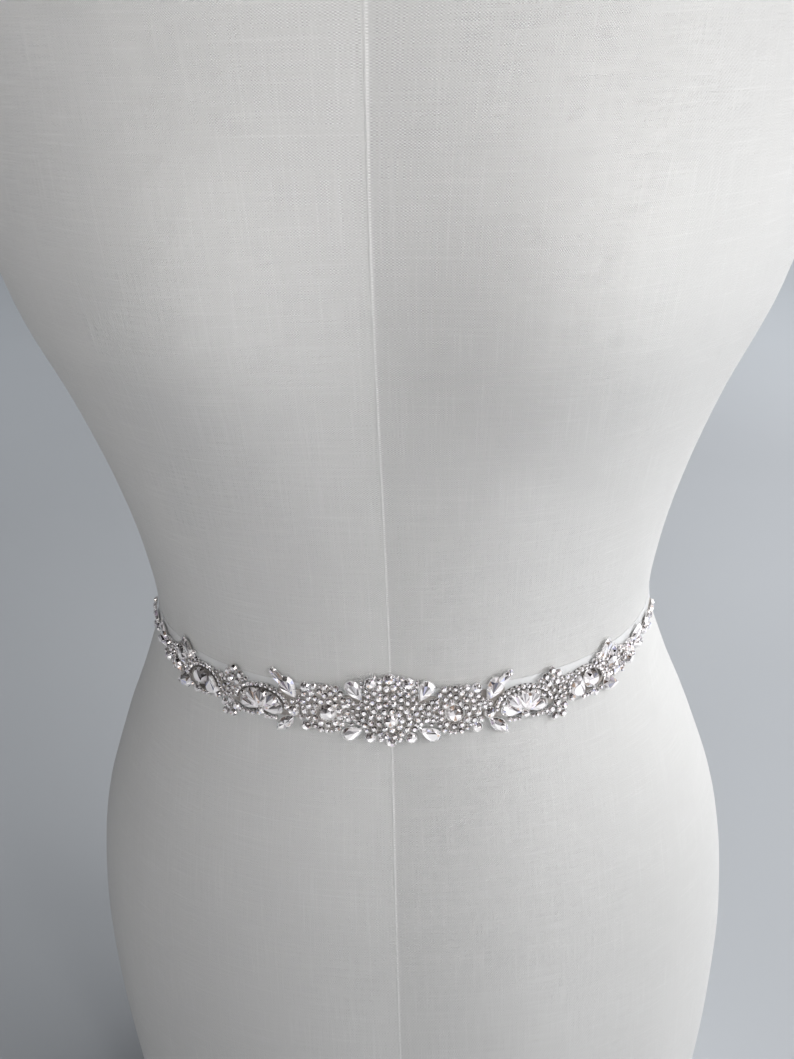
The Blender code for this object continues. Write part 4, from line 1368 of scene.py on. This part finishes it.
print("stones stand", round(1000 * (APPLIQUE_INSIDE + APPLIQUE_WALL), 1), "mm out and more")

# %% how much painted reflection each facet is given
FACET_COLUMNS = ("least", "most", "chance", "swing")
# painted reflections: for a whole stone, for each facet by chance, and from its bright side round
PAINTED_FACET_LIGHT = {                       # of a whole stone, a facet's own chance, and from top to foot
    "bead": (0.44, 0.75, 0.14, 0.10),
    "round": (0.46, 0.58, 0.12, 0.38),
    "pear": (0.46, 0.58, 0.20, 0.24),
    "navette": (0.46, 0.58, 0.20, 0.24),
    "baguette": (0.46, 0.58, 0.20, 0.24),
}
# painted highlight on a small stone's table, painted shade on its rim and on every third facet of a
# large stone
PAINTED_BEAD_TABLE, PAINTED_BEAD_CROWN = 0.06, -0.30      # a small stone's table is bright and its rim darker
PAINTED_DARK_FACET, PAINTED_PLAIN_FACET = -0.20, 0.08     # every third facet of a large stone is dark


def paint_facet_reflections(crystals, facets, stone, turn, chance):
    """Painted reflections: each stone is painted brighter on its lower side, standing for the light
    off the floor that it mirrors. A pear is painted bright towards its tip."""
    painted_facet_light = crystals.faces.layers.float["facet"]
    cut = stone["cut"]
    given = dict(zip(FACET_COLUMNS, PAINTED_FACET_LIGHT[cut]))
    painted_bright_way = -math.pi / 2 - turn + chance.uniform(-0.8, 0.8)
    whole = chance.uniform(given["least"], given["most"])
    for facet, (way, table, number_round) in zip(facets, CUT_FACETS[cut]):
        light = whole + chance.uniform(-given["chance"], given["chance"])
        if cut == "bead":
            own = PAINTED_BEAD_TABLE if table else PAINTED_BEAD_CROWN
        else:
            painted_dark = number_round % 3 == 0 and (table or cut not in ("pear", "baguette"))
            own = PAINTED_DARK_FACET if painted_dark else PAINTED_PLAIN_FACET
        light += given["swing"] * math.cos(way - painted_bright_way) + own
        if cut == "pear":
            light += 0.04 + 0.08 * math.cos(way)
        facet[painted_facet_light] = min(max(light, 0.0), 1.0) * 0.999


print("facets of a round:", len(CUT_FACETS["round"]))

# %% set one stone
CROWN_SHARE = {"bead": 0.30, "round": 0.27, "pear": 0.26, "navette": 0.30, "baguette": 0.34}
TILT = 7.0                            # degrees that a small stone may lean, a large one half of it
STONE_PLAY = 0.97                     # a stone is this much smaller than its cup
CUP_LIFT = 0.0003                     # from the applique's back to a cup's foot
PRONG_SIZE, BEAD_PRONG_SIZE = 0.26 * MM, 0.17 * MM
PRONG_REACH, PRONG_DROP, PRONG_TALL = 1.04, 0.4, 1.05     # shares of the stone and of its crown
PRONG_LEAN = -22.0                    # degrees, inward over the girdle


def set_stone(crystals, silver, stone, side, chance):
    """A stone with its cup and prongs, on the form, with its table outward."""
    cut, small = stone["cut"], stone["cut"] == "bead"
    half_length, half_width = stone["length"] * MM / 2, stone["width"] * MM / 2
    crown = 2 * half_width * CROWN_SHARE[cut]
    top = APPLIQUE_INSIDE + APPLIQUE_WALL + stone["rise"] * MM
    top += dome_lift(stone["motif"], stone["along"], stone["up"])
    girdle, bottom = top - crown, APPLIQUE_INSIDE + CUP_LIFT
    turn = math.radians(stone["turn"] if side > 0 else 180 - stone["turn"])
    turn += chance.uniform(0.0, math.tau) if small else 0.0
    lean = TILT if small else TILT / 2
    tilt = Euler((math.radians(chance.uniform(-lean, lean)),
                  math.radians(chance.uniform(-lean, lean)), turn)).to_matrix().to_4x4()
    spot = belt_axes(side * stone["along"] * MM, stone["up"] * MM)
    rest = spot @ Matrix.Translation((0.0, 0.0, girdle)) @ tilt
    facets = copy_in(crystals, CUT_MESHES[cut],
                     rest @ sized(STONE_PLAY * half_length, STONE_PLAY * half_width, crown))
    paint_facet_reflections(crystals, facets, stone, turn, chance)
    deep = girdle - bottom
    copy_in(silver, CUP_MESHES[cut], rest @ Matrix.Translation((0.0, 0.0, -deep))
            @ sized(half_length, half_width, deep))
    post = BEAD_PRONG_SIZE if small else PRONG_SIZE
    for degrees in PRONG_TURNS[cut]:
        x, y = cut_outline(cut, math.radians(degrees))
        foot = Vector((PRONG_REACH * half_length * x, PRONG_REACH * half_width * y,
                       -PRONG_DROP * crown))
        inward = Matrix.Rotation(math.radians(PRONG_LEAN), 4, Vector((-y, x, 0.0)))
        copy_in(silver, PRONG_MESH, rest @ Matrix.Translation(foot) @ inward
                @ sized(post, post, PRONG_TALL * crown))


print("a small stone leans up to", TILT, "degrees")

# %% [markdown]
# ## Backing plates and wires
# What holds the cups together is a thin plate under each cluster and a few wires to the stones
# that stand clear. A plate is a flat shape in the plan, subdivided so that it can bend, wrapped
# round the waist like the ribbon and thickened.

# %% where plates and wires lie
BACKING_COLUMNS = ("start", "end", "bottom", "top")
BACKINGS = {
    "medallion": ((-19.1, 19.1, -8.0, 3.0),),
    "pave": ((19.4, 37.8, -8.0, 3.0),),
    "leaf_arch": (
        (38.2, 48.4, -9.5, 4.0),
        (62.8, 75.8, -8.4, 1.4),
    ),
    "small_arch": (
        (76.2, 81.4, -8.0, 1.8),
        (92.4, 112.6, -8.8, 2.8),
    ),
    "end_sprig": (
        (113.0, 123.0, -5.0, 1.4),
        (119.2, 158.8, -2.0, 0.8),
    ),
}
OVAL_COLUMNS = ("along", "up", "half_width", "half_height")
OVALS = {
    "medallion": ((0.0, -1.8, 13.6, 14.6),),
    "pave": ((28.4, -3.4, 9.4, 10.8),),
}
WIRE_COLUMNS = ("along", "up", "to_along", "to_up")
WIRES = {
    "medallion": (
        (14.6, 6.4, 8.0, 3.0),
        (-14.6, 6.4, -8.0, 3.0),
        (15.7, -14.6, 8.0, -8.0),
        (-15.7, -14.6, -8.0, -8.0),
    ),
    "pave": (
        (35.2, 6.8, 31.3, 3.0),
        (35.2, -12.4, 31.3, -9.0),
    ),
    "leaf_arch": (
        (50.4, 11.4, 44.2, 5.0),
        (69.8, 4.3, 69.8, -1.0),
        (70.9, -11.8, 70.5, -6.0),
    ),
    "small_arch": (
        (90.8, -10.8, 90.8, -6.0),
        (100.4, -10.6, 98.6, -6.0),
        (78.4, -8.4, 79.2, -5.0),
        (99.2, 7.0, 98.2, 0.6),
    ),
    "end_sprig": (
        (115.5, -6.0, 116.2, -2.0),
        (124.2, 2.7, 122.6, -1.0),
    ),
}
print("wires in one half:", sum(len(rows) for rows in WIRES.values()))

# %% thin plates
PLATE_OUT = APPLIQUE_INSIDE + 0.0001
PLATE_THICK = 0.0006
PLAIN_INDEX, BACKING_INDEX, PAINTED_SHADOW_INDEX = 0, 1, 2    # the three finishes of a silver piece


def add_to_silver(silver, shape, finish):
    mesh = to_mesh(shape, "part")
    for face in copy_in(silver, mesh, Matrix.Identity(4)):
        face.material_index = finish
    bpy.data.meshes.remove(mesh)


def thicken(shape, thickness):
    face_outward(shape)
    bmesh.ops.solidify(shape, geom=shape.faces[:], thickness=thickness)
    face_outward(shape)


def wrapped_plate(silver, shape, side, finish=BACKING_INDEX):
    """Wrap a flat plate, drawn in mm, round the waist, thicken it and add it to the silver."""
    for corner in shape.verts:
        corner.co = on_belt(side * corner.co.x * MM, corner.co.y * MM, PLATE_OUT)
    thicken(shape, PLATE_THICK)
    add_to_silver(silver, shape, finish)


def bar_plate(start, end, bottom, top):
    """A rectangle with corners every few millimetres, so that it can bend round the waist."""
    shape = bmesh.new()
    bmesh.ops.create_grid(shape, x_segments=max(round((end - start) / 2.5), 2),
                          y_segments=max(round((top - bottom) / 3), 2), size=0.5)
    bmesh.ops.scale(shape, verts=shape.verts[:], vec=(end - start, top - bottom, 1.0))
    bmesh.ops.translate(shape, verts=shape.verts[:],
                        vec=((start + end) / 2, (bottom + top) / 2, 0.0))
    return shape


def oval_plate(along, up, half_width, half_height, arch_below=None):
    """An oval, or the upper half of one with a straight foot for an arch."""
    shape = bmesh.new()
    bmesh.ops.create_circle(shape, cap_ends=True, cap_tris=True, segments=28, radius=1.0)
    bmesh.ops.subdivide_edges(shape, edges=shape.edges[:], cuts=2, use_grid_fill=True)
    for corner in shape.verts:
        x, y = corner.co.x * half_width, corner.co.y * half_height
        if arch_below is not None and y < 0:
            y *= arch_below / half_height
        corner.co = (along + x, up + y, 0.0)
    return shape


print("plates are", round(1000 * PLATE_THICK, 1), "mm thick")

# %% rims, wires and the whole backing
RIM_WIDTH, RIM_DEPTH, RIM_OUT = 0.4, 0.0008, 0.0025       # mm in the plan, then metres
RIM_INSET = CHAIN_WIDTH + 0.1         # mm from an arch's outside to its rim
WIRE_OUT, WIRE_RADIUS = PLATE_OUT + 0.0007, 0.00055
ARCH_PLATE_INSET = 0.9                # mm that an arch's plate is smaller than the arch


def lay_rim(silver, arch, side):
    """A thin upright strip just inside an arch's chain, in the nearly black painted-shadow finish,
    which paints a dark shadow line between stones.
    """
    wide, tall = arch["half_span"] - RIM_INSET, arch["height"] - RIM_INSET
    shape = bmesh.new()
    bmesh.ops.create_grid(shape, x_segments=28, y_segments=1, size=0.5)
    for corner in shape.verts:
        turn, off = math.pi * (corner.co.x + 0.5), RIM_WIDTH * corner.co.y
        corner.co = on_belt(side * (arch["along"] + (wide + off) * math.cos(turn)) * MM,
                            (arch["up"] + (tall + off) * math.sin(turn)) * MM, RIM_OUT)
    thicken(shape, -RIM_DEPTH)
    add_to_silver(silver, shape, PAINTED_SHADOW_INDEX)


def lay_wire(silver, wire, side):
    """A straight round wire from a stone's cup in to the plate."""
    start = on_belt(side * wire["along"] * MM, wire["up"] * MM, WIRE_OUT)
    end = on_belt(side * wire["to_along"] * MM, wire["to_up"] * MM, WIRE_OUT)
    shape = bmesh.new()
    bmesh.ops.create_cone(shape, cap_ends=True, segments=6, radius1=WIRE_RADIUS,
                          radius2=WIRE_RADIUS, depth=(end - start).length)
    turned = (end - start).to_track_quat("Z", "Y").to_matrix().to_4x4()
    bmesh.ops.transform(shape, matrix=Matrix.Translation((start + end) / 2) @ turned,
                        verts=shape.verts[:])
    add_to_silver(silver, shape, PLAIN_INDEX)


def lay_backing(silver, motif, side):
    for draw, table, columns in ((bar_plate, BACKINGS, BACKING_COLUMNS),
                                 (oval_plate, OVALS, OVAL_COLUMNS)):
        for plate in rows_for(motif, table, columns):
            wrapped_plate(silver, draw(*(plate[column] for column in columns)), side)
    for arch in rows_for(motif, ARCHES, ARCH_COLUMNS):
        flat = oval_plate(arch["along"], arch["up"], arch["half_span"] - ARCH_PLATE_INSET,
                          arch["height"] - ARCH_PLATE_INSET, arch["below"])
        # the plate inside an arch gets the painted-shadow finish, so its gaps read as shade
        wrapped_plate(silver, flat, side, PAINTED_SHADOW_INDEX)
        lay_rim(silver, arch, side)
    for wire in rows_for(motif, WIRES, WIRE_COLUMNS):
        lay_wire(silver, wire, side)


print("a rim stands out, mm:", round(1000 * (RIM_OUT + RIM_DEPTH), 1))

# %% [markdown]
# ## Building the motifs
# The applique is made in nine motifs: a medallion, and on each side a pave cluster, two arches and
# a tapering sprig. Each becomes two pieces, its silver and its crystals, so that each has its own
# finish. The chance numbers are seeded, so the same stones glint on every run.

# %% build every motif
def build_motif(motif, side, node, seed):
    chance = random.Random(seed)
    crystals, silver = bmesh.new(), bmesh.new()
    # the facet attribute holds each facet's painted reflection
    crystals.faces.layers.float.new("facet")
    placed = large_stones(motif)
    placed += small_stones(motif, placed)
    lay_backing(silver, motif, side)
    for stone in placed:
        set_stone(crystals, silver, stone, side, chance)
    name = node.removeprefix("applique_")
    finish_piece(f"{name}_silver", silver, [SILVER, BACKING, PAINTED_SHADOW], [node], sharp=40)
    finish_piece(f"{name}_crystals", crystals, [CRYSTAL], [node], sharp=0)
    return len(placed)


STONES_SET = build_motif("medallion", 1, "applique_medallion", 11)
for seed, motif in enumerate(MOTIFS[1:]):
    STONES_SET += build_motif(motif, -1, f"applique_{motif}_left", 20 + seed)
    STONES_SET += build_motif(motif, 1, f"applique_{motif}_right", 30 + seed)
print("stones set:", STONES_SET)

# %% [markdown]
# ## A pale studio
# The floor runs into a round wall with no corner, so that the background is one soft field. It is
# spun from a short profile: flat, a quarter curve, then straight up. It is stage, not product.

# %% floor and wall
FLOOR_RADIUS, WALL_CURVE, WALL_HEIGHT = 2.4, 0.9, 5.0
CURVE_STEPS, ROUND_STEPS = 10, 72


def spin_studio():
    shape = bmesh.new()
    profile = [(0.001, 0.0), (FLOOR_RADIUS, 0.0)]
    turns = [math.pi / 2 * k / CURVE_STEPS for k in range(1, CURVE_STEPS + 1)]
    profile += [(FLOOR_RADIUS + WALL_CURVE * math.sin(turn), WALL_CURVE * (1 - math.cos(turn)))
                for turn in turns]
    profile.append((FLOOR_RADIUS + WALL_CURVE, WALL_HEIGHT))
    corners = [shape.verts.new((x, 0.0, z)) for x, z in profile]
    edges = [shape.edges.new(pair) for pair in zip(corners, corners[1:])]
    bmesh.ops.spin(shape, geom=corners + edges, cent=(0, 0, 0), axis=(0, 0, 1), dvec=(0, 0, 0),
                   angle=math.tau, steps=ROUND_STEPS, use_merge=True, use_duplicate=False)
    bmesh.ops.contextual_create(shape, geom=[e for e in shape.edges
                                             if e.is_boundary and e.verts[0].co.length < 0.1])
    face_outward(shape)
    if sum(face.normal.z for face in shape.faces) < 0.0:
        bmesh.ops.reverse_faces(shape, faces=shape.faces[:])
    mesh = to_mesh(shape, "studio")
    mesh.shade_smooth()
    return mesh


STUDIO_MESH = spin_studio()
print("floor and wall:", len(STUDIO_MESH.polygons), "faces")

# %% paint the studio
PAINT_COLOUR = (0.430, 0.449, 0.475)


def make_stage(mesh):
    material, tree, shader = start_material("studio_paint", Roughness=0.95)
    soft = use_group(tree, MARKS, Place=texture_place(tree, "Object"), Patch=1.2,
                     Low=0.97, High=1.03)
    tree.links.new(tinted(tree, PAINT_COLOUR, soft.outputs["Mask"]),
                   shader.inputs["Base Color"])
    mesh.materials.append(material)
    studio = bpy.data.objects.new("studio", mesh)
    bpy.context.scene.collection.objects.link(studio)
    return studio


STUDIO = make_stage(STUDIO_MESH)
print("painted:", STUDIO.name)

# %% [markdown]
# ## Light
# A wide window beside the form models it, and two lights behind draw its edges. Two more light
# the wall, which gives some of it back, and a narrow beam keeps the chest open. A few narrow strips
# give the stones something small and bright to mirror: without them cut glass looks like plaster.

# %% lights
LIGHT_COLUMNS = ("name", "place", "aim", "width", "height", "power", "spread", "tint")
LIGHTS = (
    ("window", (1.46, -0.53, 0.92), (0.0, 0.0, 0.42), 1.1, 1.3, 23.8, 180, (1.0, 1.0, 1.0)),
    ("behind_right", (1.30, 0.60, 1.10), (0.0, 0.0, 0.42), 1.0, 1.3, 10.8, 180, (1.0, 1.0, 1.0)),
    ("behind", (0.90, 1.30, 1.20), (0.0, 0.0, 0.50), 0.9, 1.2, 11.6, 180, (1.0, 1.0, 1.0)),
    ("chest", (0.00, -1.70, 1.30), (0.0, 0.0, 0.62), 0.8, 0.8, 1.3, 40, (1.0, 0.98, 0.96)),
    ("shoulder", (1.00, -0.30, 1.80), (0.0, 0.0, 0.62), 1.0, 1.0, 0.5, 50, (1.0, 1.0, 1.0)),
    ("strip_left", (-0.90, -0.80, 0.85), (0.0, -0.10, 0.36), 0.12, 0.50, 1.9, 180,
     (1.0, 0.98, 0.96)),
    ("strip_right", (0.55, -1.05, 1.00), (0.0, -0.10, 0.36), 0.10, 0.50, 2.0, 180,
     (1.0, 1.0, 1.0)),
    ("strip_low", (0.00, -0.95, 0.06), (0.0, -0.10, 0.36), 1.30, 0.09, 0.8, 180,
     (1.0, 0.98, 0.96)),
    ("wall_right", (0.75, 1.77, 1.28), (1.18, 2.90, 0.51), 0.8, 0.8, 19.6, 180,
     (0.97, 0.99, 1.0)),
    ("wall_left", (-1.20, 1.20, 1.60), (-1.60, 2.90, 0.50), 0.8, 0.8, 14.8, 180,
     (0.97, 0.99, 1.0)),
)


def add_light(row):
    lamp = bpy.data.lights.new(row["name"], "AREA")
    lamp.shape = "RECTANGLE"
    lamp.size, lamp.size_y = row["width"], row["height"]
    lamp.energy = row["power"]
    lamp.spread = math.radians(row["spread"])
    lamp.color = row["tint"]
    light = bpy.data.objects.new(row["name"], lamp)
    light.visible_camera = False
    light.location = row["place"]
    aim = Vector(row["aim"]) - Vector(row["place"])
    light.rotation_euler = aim.to_track_quat("-Z", "Y").to_euler()
    bpy.context.scene.collection.objects.link(light)
    return light


def keep_off_floor(light):
    """The low strip lies close over the floor, where it would draw a bright line, so it leaves
    the floor unlit."""
    unlit = bpy.data.collections.new("not lit by " + light.name)
    unlit.objects.link(bpy.data.objects["studio"])
    light.light_linking.receiver_collection = unlit
    unlit.collection_objects[0].light_linking.link_state = "EXCLUDE"


for row in rows_of(LIGHTS, LIGHT_COLUMNS):
    light = add_light(row)
    if row["name"] == "strip_low":
        keep_off_floor(light)

world = bpy.data.worlds.new("studio_air")
world.use_nodes = True
world.node_tree.nodes["Background"].inputs["Color"].default_value = (1.0, 0.97, 0.94, 1.0)
world.node_tree.nodes["Background"].inputs["Strength"].default_value = 0.015
bpy.context.scene.world = world
bpy.context.scene.view_settings.view_transform = "Standard"
print("lights:", len(LIGHTS))

# %% [markdown]
# ## Totals
# The number of dressed pieces and of their triangles is printed.

# %% pieces and triangles
print("pieces:", len(PIECES), "triangles:", sum(total for _, total in PIECES))
